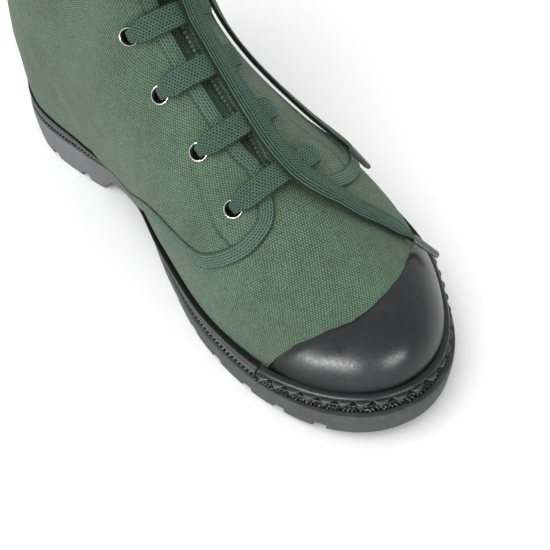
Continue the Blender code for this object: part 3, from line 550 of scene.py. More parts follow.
def rib_length(s, t, side):
    """Length of a rib from t up to its end."""
    total = np.zeros(np.shape(s))
    steps = 14
    for k in range(steps):
        low = t + (1.0 - t) * k / steps
        high = t + (1.0 - t) * (k + 1) / steps
        total = total + np.linalg.norm(surface(s, high, side) - surface(s, low, side), axis=-1)
    return total


LENGTH_RIBS = np.linspace(0.0, LAST_RIB, 600)
LENGTH_LINE = run_length(surface(LENGTH_RIBS, 0.45, -1))


def cloth_uv(s, t, side):
    """Millimetres along the boot and round it, for the weave."""
    along = np.interp(s, LENGTH_RIBS, LENGTH_LINE)
    return np.stack([along, side * rib_length(s, t, side)], axis=-1)


def even_ribs(first, last, step, t, side):
    """Rib numbers at even steps along the boot."""
    dense = np.linspace(first, last, 1500)
    length = run_length(surface(dense, t, side))
    count = max(3, int(round(length[-1] / step)) + 1)
    return np.interp(np.linspace(0.0, length[-1], count), length, dense)


def heights_to_t(s, side, heights):
    """t of each rib at heights over its start, as a grid."""
    steps = np.linspace(0.0, 0.7, 141)
    grid_s, grid_t = np.meshgrid(s, steps, indexing="ij")
    z = surface(grid_s, grid_t, side)[..., 2]
    return np.array([np.interp(row[0] + np.asarray(heights), row, steps) for row in z])


def grid_faces(rows, columns, flip=False, wrap=False):
    """Quads over a grid of points that is stored row by row."""
    row = np.arange(rows - 1)[:, None]
    column = np.arange(columns if wrap else columns - 1)[None, :]
    after = (column + 1) % columns
    corners = (row * columns + column, (row + 1) * columns + column,
               (row + 1) * columns + after, row * columns + after)
    quads = np.stack(np.broadcast_arrays(*corners), axis=-1).reshape(-1, 4)
    return quads[:, ::-1] if flip else quads


@contextmanager
def edited(mesh):
    """The mesh opened for bmesh operations, and written back after them."""
    work = bmesh.new()
    work.from_mesh(mesh)
    yield work
    work.to_mesh(mesh)
    work.free()


def smooth_faces(mesh, sharp=None):
    """Shade a mesh smooth, with hard edges where faces meet at more than sharp degrees."""
    mesh.polygons.foreach_set("use_smooth", np.ones(len(mesh.polygons), dtype=bool))
    if sharp is not None:
        mesh.set_sharp_from_angle(angle=math.radians(sharp))


def put_in_scene(name, data):
    """New object in the scene."""
    item = bpy.data.objects.new(name, data)
    bpy.context.scene.collection.objects.link(item)
    return item


def add_piece(name, mesh, node):
    """Piece that rides on the boot in place of a solid."""
    item = put_in_scene(name, mesh)
    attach(item, "root")
    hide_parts(node)
    return item


class Shape:
    """Points, faces, texture lengths, dust and painted shade, and material numbers of a piece in the making.
    """

    def __init__(self):
        self.points = []
        self.faces = []
        self.uv = []
        self.dust_and_painted_shade = []
        self.numbers = []
        self.count = 0

    def add(self, points, quads, uv=None, dust_and_painted_shade=None, number=0):
        """Add a block of points and its faces, which count from the block's first point."""
        points = np.asarray(points, dtype=float).reshape(-1, 3)
        size = len(points)
        self.points.append(points)
        for quad in quads:
            self.faces.append(tuple(int(a) + self.count for a in quad))
        self.uv.append(np.zeros((size, 2)) if uv is None else np.reshape(uv, (-1, 2)))
        self.dust_and_painted_shade.append(np.zeros(size) if dust_and_painted_shade is None else np.reshape(dust_and_painted_shade, -1))
        self.numbers.append(np.full(len(quads), number))
        self.count += size

    def grid(self, points, flip=False, wrap=False, uv=None, dust_and_painted_shade=None, number=0, keep=None):
        """Add a grid of points; keep says which of its quads stay."""
        rows, columns = np.shape(points)[:2]
        quads = grid_faces(rows, columns, flip, wrap)
        if keep is not None:
            quads = quads[np.reshape(keep, -1)]
        self.add(points, quads, uv, dust_and_painted_shade, number)

    def make(self, name, materials, node, weld=0.0, sharp=None):
        """Piece of this shape. Points closer than weld are joined."""
        mesh = bpy.data.meshes.new(name)
        mesh.from_pydata(place(np.concatenate(self.points)).tolist(), [], self.faces)
        for material in materials:
            mesh.materials.append(material)
        mesh.polygons.foreach_set("material_index", np.concatenate(self.numbers).astype(np.int32))
        corner = np.empty(len(mesh.loops), dtype=np.int32)
        mesh.loops.foreach_get("vertex_index", corner)
        layer = mesh.uv_layers.new(name="lengths")
        layer.data.foreach_set("uv", np.concatenate(self.uv)[corner].astype(np.float32).ravel())
        # Per point: grey dust above 0, painted shade below 0, for the materials to read.
        dust_and_painted_shade = mesh.attributes.new("dust_and_painted_shade", "FLOAT", "POINT")
        dust_and_painted_shade.data.foreach_set("value", np.concatenate(self.dust_and_painted_shade).astype(np.float32))
        if weld > 0.0:
            with edited(mesh) as work:
                bmesh.ops.remove_doubles(work, verts=work.verts[:], dist=weld * MM)
        mesh.validate()
        smooth_faces(mesh, sharp)
        return add_piece(name, mesh, node)


class Graph:
    """Nodes of one material, with its main shader."""

    def __init__(self, name, roughness, specular=0.5):
        self.material = bpy.data.materials.new(name)
        self.material.use_nodes = True
        self.tree = self.material.node_tree
        self.shader = self.tree.nodes["Principled BSDF"]
        self.set("Roughness", roughness)
        self.set("Specular IOR Level", specular)

    def put(self, socket, value):
        """Link a socket, or set its number or colour."""
        if isinstance(value, bpy.types.NodeSocket):
            self.tree.links.new(value, socket)
        else:
            socket.default_value = value + OPAQUE if isinstance(value, tuple) else value

    def set(self, name, value):
        """Link or set an input of the shader."""
        self.put(self.shader.inputs[name], value)

    def node(self, kind, inputs=(), **settings):
        """New node with settings, and with inputs by name or number."""
        made = self.tree.nodes.new(kind)
        for key, value in settings.items():
            setattr(made, key, value)
        for key, value in dict(inputs).items():
            self.put(made.inputs[key], value)
        return made

    def math(self, operation, a, b=0.0, c=0.0, clamp=False):
        """Result of one operation."""
        made = self.node("ShaderNodeMath", {0: a, 1: b, 2: c}, operation=operation, use_clamp=clamp)
        return made.outputs[0]

    def add(self, a, b, clamp=False):
        """Sum of two numbers."""
        return self.math("ADD", a, b, clamp=clamp)

    def times(self, a, b, clamp=False):
        """Product of two numbers."""
        return self.math("MULTIPLY", a, b, clamp=clamp)

    def split(self, vector):
        """The three numbers of a vector."""
        return self.node("ShaderNodeSeparateXYZ", {0: vector}).outputs

    def lengths(self):
        """Millimetres along and across the piece."""
        return self.split(self.node("ShaderNodeUVMap", uv_map="lengths").outputs[0])[:2]

    def where(self):
        """Place on the piece in its own metres."""
        return self.node("ShaderNodeTexCoord").outputs["Object"]

    def dust_and_painted_shade(self):
        """The piece's own numbers of grey dust above 0 and painted shade below 0."""
        return self.node("ShaderNodeAttribute", attribute_name="dust_and_painted_shade").outputs["Fac"]

    def spots(self, scale, detail, rough=0.55):
        """Noise over the piece, from 0 to 1."""
        made = self.node("ShaderNodeTexNoise", {"Vector": self.where(), "Scale": scale, "Detail": detail,
                                                "Roughness": rough})
        return made.outputs[0]

    def span(self, value, low, high, first=0.0, last=1.0):
        """Value mapped from one range to another and held there."""
        made = self.node("ShaderNodeMapRange", {"Value": value, "From Min": low, "From Max": high,
                                                "To Min": first, "To Max": last})
        return made.outputs[0]

    def waver(self, scale, swing, middle=0.0, detail=2.0, reach=0.2):
        """Noise that swings about a middle. reach is how far from its own middle, 0.5, it is followed."""
        return self.span(self.spots(scale, detail), 0.5 - reach, 0.5 + reach, middle - swing, middle + swing)

    def wave(self, value, pitch, shift=0.0):
        """Cosine of a length."""
        return self.math("COSINE", self.math("MULTIPLY_ADD", value, 2.0 * math.pi / pitch, shift))

    def mix(self, share, first, last, blend="MIX"):
        """Colour between two colours."""
        made = self.node("ShaderNodeMix", {0: share, 6: first, 7: last}, data_type="RGBA", blend_type=blend)
        return made.outputs[2]

    def shade(self, colour, factor):
        """Colour made lighter or darker by a factor."""
        grey = self.node("ShaderNodeCombineColor", {0: factor, 1: factor, 2: factor})
        return self.mix(1.0, colour, grey.outputs[0], "MULTIPLY")

    def bump(self, height, distance, strength, under=None):
        """Normal of a relief, distance in millimetres, over another normal where one is given."""
        made = self.node("ShaderNodeBump", {"Strength": strength, "Distance": distance * MM,
                                            "Height": height})
        if under is not None:
            self.put(made.inputs["Normal"], under)
        return made.outputs[0]

    def finish(self, colour, normal):
        """Connect colour and normal to the shader."""
        self.set("Base Color", colour)
        self.set("Normal", normal)
        return self.material

    def sheen(self, weight, tint):
        """Soft light of the cloth's fibres."""
        self.set("Sheen Weight", weight)
        self.set("Sheen Roughness", 0.45)
        self.set("Sheen Tint", tint)


def woven(name, dark, light, pitch, sheen):
    """Plain woven cloth: bumps where one thread lies over the other, uneven threads and soft blotches, with
    painted shade in the weave's low spots, painted light on its raised threads, and painted shade along a
    seam.

    pitch is the distance of the threads along the boot and round it.
    """
    g = Graph(name, roughness=0.9, specular=0.25)
    g.sheen(sheen, (0.75, 0.85, 0.75))
    u, v = g.lengths()
    u = g.add(u, g.waver(260.0, swing=0.16))
    v = g.add(v, g.waver(330.0, swing=0.12))
    cross = g.times(g.wave(u, 2.0 * pitch[0]), g.wave(v, 2.0 * pitch[1]))
    height = g.add(cross, g.times(g.wave(u, pitch[0]), 0.35))
    height = g.add(height, g.waver(900.0, swing=0.35, reach=0.25))
    # Colour from dark in the weave's low spots to light on its raised threads: painted shade and light.
    colour = g.mix(g.span(height, -1.1, 1.1), dark, light)
    broad = g.waver(28.0, swing=0.14, middle=1.0, detail=3.0, reach=0.25)
    small = g.waver(150.0, swing=0.10, detail=3.0, reach=0.25)
    colour = g.shade(colour, g.add(broad, small))
    # Painted shade where the numbers are below 0, along the quarter's seam.
    colour = g.shade(colour, g.span(g.dust_and_painted_shade(), -1.0, 0.0, 0.10, 1.0))
    return g.finish(colour, g.bump(height, distance=0.22, strength=0.75))


def ribbed(name, dark, light, pitch, stitch, depth, dots, seam=None, cords=None):
    """Tape or lace: ribs along it, crossed by the yarn as slanting marks or, as dots grows, as a braid.

    seam is how far in the tape ends, at its stitched inner edge; with it, painted shade darkens a narrow band
    at the tape's inner and outer edge, and without it both edges of a lace. Beyond cords only long ribs show.
    """
    g = Graph(name, roughness=0.88, specular=0.25)
    g.sheen(0.14, (0.7, 0.85, 0.78))
    u, v = g.lengths()
    u = g.add(u, g.waver(340.0, swing=0.12))
    v = g.add(v, g.waver(300.0, swing=0.10))
    number = g.math("FLOOR", g.math("DIVIDE", v, pitch))
    slant = g.add(g.add(u, g.times(number, 0.5 * stitch)), g.times(v, 0.35))
    braid = g.times(g.wave(u, 2.0 * stitch), g.wave(v, 2.0 * pitch, 0.5 * math.pi))
    yarn = g.add(g.times(g.wave(slant, stitch), 0.55 * (1.0 - dots)), g.times(braid, 1.3 * dots))
    height = g.add(g.times(g.wave(v, pitch), 1.0 - 0.7 * dots), yarn)
    if cords is not None:
        plain = g.span(v, cords - 0.3, cords + 0.3)
        lines = g.times(g.times(g.wave(v, 1.2 * pitch), 1.1), plain)
        height = g.add(g.times(height, g.math("SUBTRACT", 1.0, plain)), lines)
    height = g.add(height, g.waver(1100.0, swing=0.4, reach=0.25))
    # Colour from dark in the low spots to light on the ribs: painted shade and light.
    colour = g.mix(g.span(height, -1.2 + 0.5 * dots, 1.2 + 0.3 * dots), dark, light)
    colour = g.shade(colour, g.waver(60.0, swing=0.12, middle=1.0, detail=3.0, reach=0.25))
    # Painted shade along the edges: a band at each edge of the tape, or both edges of a lace.
    if seam is not None:
        colour = g.shade(colour, g.span(v, seam - 0.80, seam - 0.20, 1.0, 0.15))
        colour = g.shade(colour, g.span(v, 0.15, 0.75, 0.22, 1.0))
    else:
        edge = g.math("ABSOLUTE", v)
        colour = g.shade(colour, g.span(edge, 0.43 * LACE_WIDTH, 0.495 * LACE_WIDTH, 1.0, 0.22))
    return g.finish(colour, g.bump(height, depth, strength=0.8))


def moulded(name, dark, light, rough, grain, dust, dust_share, specular=0.5, heel=0.0, paint_hollow_shade=False):
    """Rubber: fine grain, uneven gloss, grey dust where noise and the dust and painted shade numbers above 0
    put it, and a lighter grey toward the heel's back end as heel sets.

    paint_hollow_shade says that the piece has hollows, where the numbers are below 0 and painted shade
    darkens both colour and gloss.
    """
    g = Graph(name, rough[0], specular)
    fine = g.spots(grain, 4.0, 0.6)
    broad = g.spots(35.0, 4.0, 0.55)
    colour = g.mix(g.span(broad, 0.3, 0.7), dark, light)
    streak = g.span(g.spots(190.0, 5.0, 0.65), 0.52, 0.80)
    # Share of the grey dust colour: noise streaks and the numbers above 0.
    grey_share = g.times(g.add(streak, g.dust_and_painted_shade()), dust_share, clamp=True)
    # Lighter grey toward the heel's back end.
    if heel > 0.0:
        behind = g.span(g.split(g.where())[0], 0.02, -0.07, 0.0, heel)
        grey_share = g.add(grey_share, behind, clamp=True)
    colour = g.mix(grey_share, colour, dust)
    # Painted shade in hollows: colour and gloss fade where the numbers are below 0.
    if paint_hollow_shade:
        deep = g.span(g.dust_and_painted_shade(), -1.0, 0.0, 0.08, 1.0)
        colour = g.shade(colour, deep)
        g.set("Specular IOR Level", g.times(deep, specular))
    roughness = g.add(g.span(broad, 0.3, 0.7, rough[0], rough[1]), g.times(grey_share, 0.3))
    g.set("Roughness", g.add(roughness, g.span(fine, 0.35, 0.75, -0.05, 0.09)))
    normal = g.bump(fine, distance=0.10, strength=0.35)
    return g.finish(colour, g.bump(broad, distance=0.35, strength=0.25, under=normal))


def metal(name, dark, light, rough):
    """Plated metal with faint marks."""
    g = Graph(name, rough[0])
    g.set("Metallic", 1.0)
    marks = g.spots(700.0, 3.0)
    g.set("Roughness", g.span(marks, 0.3, 0.7, rough[0], rough[1]))
    colour = g.mix(g.span(marks, 0.3, 0.7), dark, light)
    return g.finish(colour, g.bump(marks, distance=0.03, strength=0.3))


CANVAS = woven("canvas", (0.009, 0.022, 0.011), (0.158, 0.246, 0.161), pitch=(0.98, 0.62), sheen=0.14)
LINING = woven("lining", (0.16, 0.17, 0.12), (0.34, 0.35, 0.27), pitch=(0.75, 0.75), sheen=0.15)
TAPE = ribbed("tape", (0.014, 0.033, 0.023), (0.138, 0.236, 0.170), pitch=1.10, stitch=0.80, depth=0.16,
              dots=0.45, seam=TAPE_WIDTH)
LACE = ribbed("lace", (0.005, 0.017, 0.013), (0.108, 0.208, 0.158), pitch=1.02, stitch=0.74, depth=0.24,
              dots=0.60)
LONG_LACE = ribbed("long_lace", (0.005, 0.017, 0.013), (0.087, 0.170, 0.128), pitch=1.15, stitch=0.70,
                   depth=0.26, dots=0.60, cords=0.9)
CAP = moulded("cap", (0.0105, 0.011, 0.0123), (0.0165, 0.0175, 0.0193), rough=(0.25, 0.35), grain=900.0,
              dust=(0.06, 0.06, 0.06), dust_share=0.14, specular=0.33, paint_hollow_shade=True)
RUBBER = moulded("rubber", (0.010, 0.011, 0.012), (0.019, 0.020, 0.021), rough=(0.30, 0.42), grain=1200.0,
                 dust=(0.15, 0.153, 0.156), dust_share=0.32, paint_hollow_shade=True)
BEAD = moulded("bead", (0.002, 0.002, 0.002), (0.005, 0.005, 0.005), rough=(0.16, 0.28), grain=1600.0,
               dust=(0.03, 0.03, 0.03), dust_share=0.10, paint_hollow_shade=True)
SOLE = moulded("sole", (0.042, 0.0445, 0.0445), (0.065, 0.068, 0.067), rough=(0.62, 0.75), grain=1400.0,
               dust=(0.225, 0.238, 0.238), dust_share=0.30, specular=0.35, heel=0.60)
TIP_GREY = moulded("tip_grey", (0.055, 0.058, 0.058), (0.10, 0.104, 0.104), rough=(0.30, 0.45), grain=1500.0,
                   dust=(0.18, 0.18, 0.175), dust_share=0.3)
TIP_DARK = moulded("tip_dark", (0.022, 0.030, 0.028), (0.05, 0.062, 0.058), rough=(0.30, 0.45), grain=1500.0,
                   dust=(0.15, 0.16, 0.15), dust_share=0.3)
SILVER = metal("silver", (0.46, 0.46, 0.45), (0.68, 0.68, 0.66), rough=(0.18, 0.32))
DARK_METAL = metal("dark_metal", (0.008, 0.008, 0.008), (0.02, 0.02, 0.02), rough=(0.45, 0.60))


# Part of the upper in which eyelets and laces are placed: s from and to, t from and to.
FRONT_RIBS = (4.2, 10.6)
FRONT_HEIGHTS = (0.3, 1.0)


def front_samples():
    """Dense points of the upper's front: s, t and place on each side."""
    s, t = np.meshgrid(np.linspace(*FRONT_RIBS, 330), np.linspace(*FRONT_HEIGHTS, 141), indexing="ij")
    return {side: (s, t, surface(s, t, side)) for side in (-1, 1)}


SAMPLES = front_samples()


def ridge(s):
    """Middle between both sides' ends of a rib."""
    return 0.5 * (surface(s, 1.0, -1) + surface(s, 1.0, 1))


def ridge_frame(s):
    """Middle of the throat at s, the direction up along it and the direction out of it."""
    small = 0.04
    along = unit(ridge(s + small) - ridge(s - small))
    out = unit(np.cross(along, np.array([0.0, 1.0, 0.0])))
    return ridge(s), along, out if out[2] > 0.0 else -out


def facing_key(s, wide, side):
    """s, t and side of the upper's point straight across from the ridge at s, this far from the middle."""
    middle, along, _ = ridge_frame(s)
    grid_s, grid_t, grid = SAMPLES[side]
    miss = np.abs((grid - middle) @ along) + np.abs(grid[..., 1] - middle[1] - side * wide)
    spot = np.unravel_index(np.argmin(miss), miss.shape)
    return (float(grid_s[spot]), float(grid_t[spot]), side)


def eyelet_places():
    """Centre, axis and lift of each eyelet, by side and number."""
    found = {}
    for side in (-1, 1):
        for k, (s, wide, lift) in enumerate(EYELET_ROWS):
            key = facing_key(s, wide, side)
            found[(side, k)] = (surface(*key), surface_normal(*key), lift)
    return found


EYELETS = eyelet_places()


def clear_of_holes(points):
    """True for the quads of a grid that no eyelet passes through."""
    middle = 0.25 * (points[:-1, :-1] + points[1:, :-1] + points[1:, 1:] + points[:-1, 1:])
    keep = np.ones(middle.shape[:2], dtype=bool)
    for centre, axis, _ in EYELETS.values():
        away = middle - centre
        height = away @ axis
        radius = np.linalg.norm(away - height[..., None] * axis, axis=-1)
        keep &= ~((np.abs(height) < HOLE_REACH) & (radius < HOLE_RADIUS))
    return keep


def set_axes(item, right, up, back, spot):
    """Turn a camera or light, which looks away from back, and put it in its place."""
    axes = np.eye(4)
    for column, vector in enumerate((right, up, back, spot)):
        axes[:3, column] = vector
    item.matrix_world = Matrix(axes.tolist())


def build_camera():
    """Camera at the photograph's viewing angle."""
    turn = math.radians(CAMERA_TURN)
    height = math.radians(CAMERA_HEIGHT)
    roll = math.radians(CAMERA_ROLL)
    back = np.array([math.sin(turn) * math.cos(height), -math.cos(turn) * math.cos(height), math.sin(height)])
    level = np.array([math.cos(turn), math.sin(turn), 0.0])
    upright = np.cross(back, level)
    data = bpy.data.cameras.new("camera")
    data.sensor_width = SENSOR_WIDTH
    data.lens = CAMERA_FOCAL_PX * SENSOR_WIDTH / IMAGE_WIDTH_PX
    data.clip_start = 0.01
    camera = put_in_scene("camera", data)
    set_axes(camera, level * math.cos(roll) + upright * math.sin(roll),
             upright * math.cos(roll) - level * math.sin(roll), back, place(CAMERA_PLACE))
    bpy.context.scene.camera = camera


def build_lights():
    """Soft boxes that face the boot."""
    for name, spot, width, height, watts, hidden in LIGHT_ROWS:
        data = bpy.data.lights.new(name, "AREA")
        data.shape = "RECTANGLE"
        data.size = width
        data.size_y = height
        data.energy = watts
        light = put_in_scene(name, data)
        back = unit(np.array(spot) - np.array(LIGHT_TARGET))
        right = unit(np.cross(np.array([0.0, 0.0, 1.0]), back))
        set_axes(light, right, np.cross(back, right), back, spot)
        setattr(light, hidden, False)


def build_stage():
    """Pale floor, soft light and an even white surround."""
    mesh = bpy.data.meshes.new("floor")
    corners = [(x * FLOOR_HALF, y * FLOOR_HALF, 0.0) for x, y in ((-1, -1), (1, -1), (1, 1), (-1, 1))]
    mesh.from_pydata(corners, [], [(0, 1, 2, 3)])
    floor = put_in_scene("floor", mesh)
    g = Graph("floor", roughness=0.9, specular=0.1)
    g.set("Base Color", FLOOR_COLOUR)
    mesh.materials.append(g.material)
    world = bpy.data.worlds.new("surround")
    world.use_nodes = True
    sky = world.node_tree.nodes["Background"]
    sky.inputs[0].default_value = (1.0, 1.0, 1.0, 1.0)
    sky.inputs[1].default_value = SURROUND_STRENGTH
    bpy.context.scene.world = world
    build_lights()
    bpy.context.scene.view_settings.view_transform = "Standard"


def lace_section(width, thick):
    """Section of the lace: place across it and height, once round."""
    across = np.linspace(-1.0, 1.0, LACE_COLUMNS)
    body = (1.0 - LACE_EDGE_FALL * np.abs(across) ** 7) * 0.5 * thick
    ribs = LACE_RIB_HEIGHT * np.cos(2.0 * math.pi * across * LACE_RIB_TURNS) * (1.0 - np.abs(across) ** 6)
    top = np.stack([across * width / 2.0, body + ribs], axis=-1)
    low = np.stack([across[::-1] * width / 2.0, -body - ribs], axis=-1)
    return np.concatenate([top, low])


def square_to(vector, axis):
    """The part of a vector that is square to an axis, of length one."""
    return unit(vector - axis * float(np.dot(vector, axis)))


def add_lace(shape, line, across, widths, thicks):
    """Add a flat lace along a line to a shape, closed at both ends."""
    along = unit(np.gradient(line, axis=0))
    length = run_length(line)
    share = np.linspace(-1.0, 1.0, LACE_COLUMNS) * LACE_WIDTH / 2.0
    across_uv = np.concatenate([share, share[::-1]])
    size = len(across_uv)
    rows = []
    uv = []
    for k, point in enumerate(line):
        wide = square_to(across[k], along[k])
        lift = unit(np.cross(wide, along[k]))
        section = lace_section(widths[k], thicks[k])
        rows.append(point + section[:, :1] * wide + section[:, 1:] * lift)
        uv.append(np.stack([np.full(size, length[k]), across_uv], axis=-1))
    quads = list(grid_faces(len(rows), size, wrap=True))
    last = (len(rows) - 1) * size
    for j in range(LACE_COLUMNS - 1):
        low = size - 1 - j
        quads.append((j, j + 1, low - 1, low))
        quads.append((last + low, last + low - 1, last + j + 1, last + j))
    shape.add(np.array(rows), quads, np.array(uv))


def read_at(at, run, values):
    """Points or vectors read at some lengths along a line."""
    return np.stack([np.interp(at, run, values[:, c]) for c in range(3)], axis=-1)


def smooth_line(points, step):
    """Even points along a smooth line through some points."""
    points = np.asarray(points, dtype=float)
    length = run_length(points)
    dense_at = np.linspace(0.0, length[-1], 600)
    dense = np.stack([through(length, points[:, c], dense_at) for c in range(3)], axis=-1)
    run = run_length(dense)
    count = max(8, int(round(run[-1] / step)) + 1)
    return read_at(np.linspace(0.0, run[-1], count), run, dense)


# Stops of a lace bar from the middle to an eyelet: share of the way, fall on the medial and lateral side.
BAR_ROWS = (
    (0.36, 0.0, 0.0),
    (0.60, 0.2, 0.2),
    (0.80, 0.7, 0.0),
)

# Last stops of a lace bar, by side: rise over the eyelet's lift, distance from its axis toward the throat.
BAR_END_ROWS = {
    -1: ((0.5, 1.1), (-2.5, 0.3)),
    1: ((2.3, 0.6), (0.9, -1.4), (-2.5, -1.0)),
}


def build_bars():
    """Lace over the throat, out of one eyelet and into the other, four times."""
    for k, (s, wide, lift) in enumerate(EYELET_ROWS[:BAR_COUNT]):
        clear = lift + BAR_CLEAR
        middle, along, out = ridge_frame(s)
        line = [middle + out * clear]
        for side in (-1, 1):
            centre, axis, _ = EYELETS[(side, k)]
            toward = square_to(np.array([0.0, -side, 0.0]), axis)
            stops = [skin(*facing_key(s, wide * row[0], side), clear - row[1 if side < 0 else 2])
                     for row in BAR_ROWS]
            stops += [centre + axis * (lift + rise) + toward * inward for rise, inward in BAR_END_ROWS[side]]
            line = stops[::-1] + line if side < 0 else line + stops
        line = smooth_line(line, BAR_STEP)
        run = run_length(line)
        left = run[-1] - run
        open_up = np.minimum(smooth_step(run, *BAR_OPENS), smooth_step(left, *BAR_CLOSES))
        widths = BUNCH_WIDTH + (LACE_WIDTH - BUNCH_WIDTH) * open_up
        thicks = BAR_BUNCH - (BAR_BUNCH - LACE_THICK) * smooth_step(np.minimum(run, left), *BUNCH_ENDS)
        shape = Shape()
        add_lace(shape, line, np.tile(along, (len(line), 1)), widths, thicks)
        shape.make("lace_over_%d" % (k + 1), [LACE], "lace_bar_%d" % (k + 1))


def carry_across(line, ups, first):
    """Direction across the lace at each point: square to its flat face, carried back before point first."""
    along = unit(np.gradient(line, axis=0))
    across = unit(np.cross(along, ups))
    for k in range(first - 1, -1, -1):
        across[k] = square_to(across[k + 1], along[k])
    return across


def build_tip(line, across, label, material):
    """Tip at the end of a lace: a rounded flat tube, tapered, and pinched near its start."""
    ahead = unit(line[-1] - line[-3])
    lift = unit(np.cross(across, ahead))
    count = 16
    along = np.linspace(-TIP_OVERLAP, AGLET_LENGTH, count)
    taper = np.linspace(0.0, 1.0, count)
    pinch = PINCH_DEPTH * np.exp(-((along - PINCH_AT) / PINCH_HALF) ** 2)
    ends = np.ones(count)
    ends[[0, -1]] = TIP_END_SHARES
    widths = (TIP_WIDTH - TIP_WIDTH_LOSS * taper - pinch) * ends
    thicks = (TIP_THICK - TIP_THICK_LOSS * taper - pinch) * ends
    turns = np.linspace(0.0, 2.0 * math.pi, 28, endpoint=False)
    x = np.sign(np.cos(turns)) * np.abs(np.cos(turns)) ** 0.55 / 2.0
    z = np.sign(np.sin(turns)) * np.abs(np.sin(turns)) ** 0.75 / 2.0
    rows = [line[-1] + ahead * step + x[:, None] * width * across + z[:, None] * thick * lift
            for step, width, thick in zip(along, widths, thicks)]
    size = len(turns)
    last = (count - 1) * size
    quads = list(grid_faces(count, size, flip=True, wrap=True))
    quads.append(tuple(range(size)))
    quads.append(tuple(last + j for j in reversed(range(size))))
    shape = Shape()
    shape.add(np.array(rows), quads)
    return shape.make("lace_tip_" + label, [material], "aglet_" + label, sharp=40.0)


def build_ends():
    """Both free ends of the lace, out of the top eyelets, and their tips."""
    for side, route, tip in ((-1, END_MEDIAL_ROUTE, TIP_GREY), (1, END_LATERAL_ROUTE, TIP_DARK)):
        label = SIDE_NAMES[side]
        centre, axis, lift = EYELETS[(side, len(EYELET_ROWS) - 1)]
        stops = [centre + axis * (lift + rise) for rise in END_START]
        ups = [axis, axis]
        for s, t, where, rise in route:
            ups.append(surface_normal(s, t, where))
            stops.append(surface(s, t, where) + ups[-1] * rise)
        line = smooth_line(stops, END_STEP)
        run = run_length(line)
        stop_run = run_length(np.array(stops))
        ups = unit(read_at(run / run[-1] * stop_run[-1], stop_run, np.array(ups)))
        across = carry_across(line, ups, CARRIED_POINTS)
        closing = 1.0 - smooth_step(run[-1] - run, *TIP_CLOSES)
        widths = BUNCH_WIDTH + (LACE_WIDTH - BUNCH_WIDTH) * smooth_step(run, *END_OPENS)
        widths = widths + (TIP_LACE_WIDTH - widths) * closing
        thicks = END_BUNCH - (END_BUNCH - LACE_THICK) * smooth_step(run, *BUNCH_ENDS)
        thicks = thicks + (TIP_LACE_THICK - thicks) * closing
        shape = Shape()
        add_lace(shape, line, across, widths, thicks)
        end = shape.make("lace_free_" + label, [LONG_LACE], "lace_end_" + label)
        tip_piece = build_tip(line, across[-1], label, tip)
        path = place(line).tolist()


def build_upper():
    """The hollow upper: canvas outside, lining inside, open at the throat and the collar."""
    shape = Shape()
    ups = np.linspace(0.0, 1.0, 64)
    for side in (-1, 1):
        first = even_ribs(0.0, THROAT_RIB, CLOTH_STEP, 0.5, side)
        last = even_ribs(THROAT_RIB, LAST_RIB, CLOTH_STEP, 0.7, side)
        s, t = np.meshgrid(np.concatenate([first, last[1:]]), ups, indexing="ij")
        uv = cloth_uv(s, t, side)
        outer = skin(s, t, side, 0.0)
        inner = skin(s, t, side, -WALL)
        shape.grid(outer, side < 0, uv=uv, keep=clear_of_holes(outer))
        shape.grid(inner, side > 0, uv=uv, number=1, keep=clear_of_holes(inner))
        free = s[:, 0] > THROAT_RIB - TINY
        rim = np.stack([outer[free, -1], inner[free, -1]], axis=1)
        shape.grid(rim, side < 0, uv=np.stack([uv[free, -1], uv[free, -1]], axis=1))
    shape.make("upper_cloth", [CANVAS, LINING], "upper", weld=0.01, sharp=60.0)


def edge_curve(side):
    """Edge of the quarter as s and t, from under the band round the tab's front and up the throat."""
    order = np.arange(len(QUARTER_EDGE), dtype=float)
    at = np.linspace(0.0, order[-1], 260)
    s = through(order, table(QUARTER_EDGE, 0), at)
    t = np.minimum(through(order, table(QUARTER_EDGE, 1), at), 1.0)
    t = np.maximum(t, heights_to_t(s, side, [BAND_TUCK])[:, 0])
    facing = np.linspace(QUARTER_EDGE[-1][0], COLLAR_RIB, 130)[1:]
    return np.concatenate([s, facing]), np.concatenate([t, np.ones(len(facing))])


def move_in(s, t, side, distance):
    """Move the points of an edge curve into the panel along the upper."""
    moved_s = np.array(s)
    moved_t = np.array(t)
    steps = 4
    small = 0.002
    along = unit(np.gradient(surface(s, t, side), axis=0))
    for _ in range(steps):
        inward = unit(np.cross(along, surface_normal(moved_s, moved_t, side))) * side
        here_s = np.clip(moved_s, small, LAST_RIB - small)
        here_t = np.clip(moved_t, small, 1.0 - small)
        d_s = (surface(here_s + small, here_t, side) - surface(here_s - small, here_t, side)) / (2 * small)
        d_t = (surface(here_s, here_t + small, side) - surface(here_s, here_t - small, side)) / (2 * small)
        a = np.sum(d_s * d_s, axis=-1)
        b = np.sum(d_s * d_t, axis=-1)
        c = np.sum(d_t * d_t, axis=-1)
        p = np.sum(d_s * inward, axis=-1)
        q = np.sum(d_t * inward, axis=-1)
        fall = a * c - b * b
        moved_s = moved_s + (p * c - q * b) / fall * distance / steps
        moved_t = np.minimum(moved_t + (q * a - p * b) / fall * distance / steps, 1.0)
    return moved_s, moved_t


def tape_extra(s, t):
    """Rise of the tape where the facing stands up at the collar."""
    return COLLAR_LIFT * np.clip((s - LIFT_FROM) / LIFT_RIBS, 0.0, 1.0) * (t > 0.5)


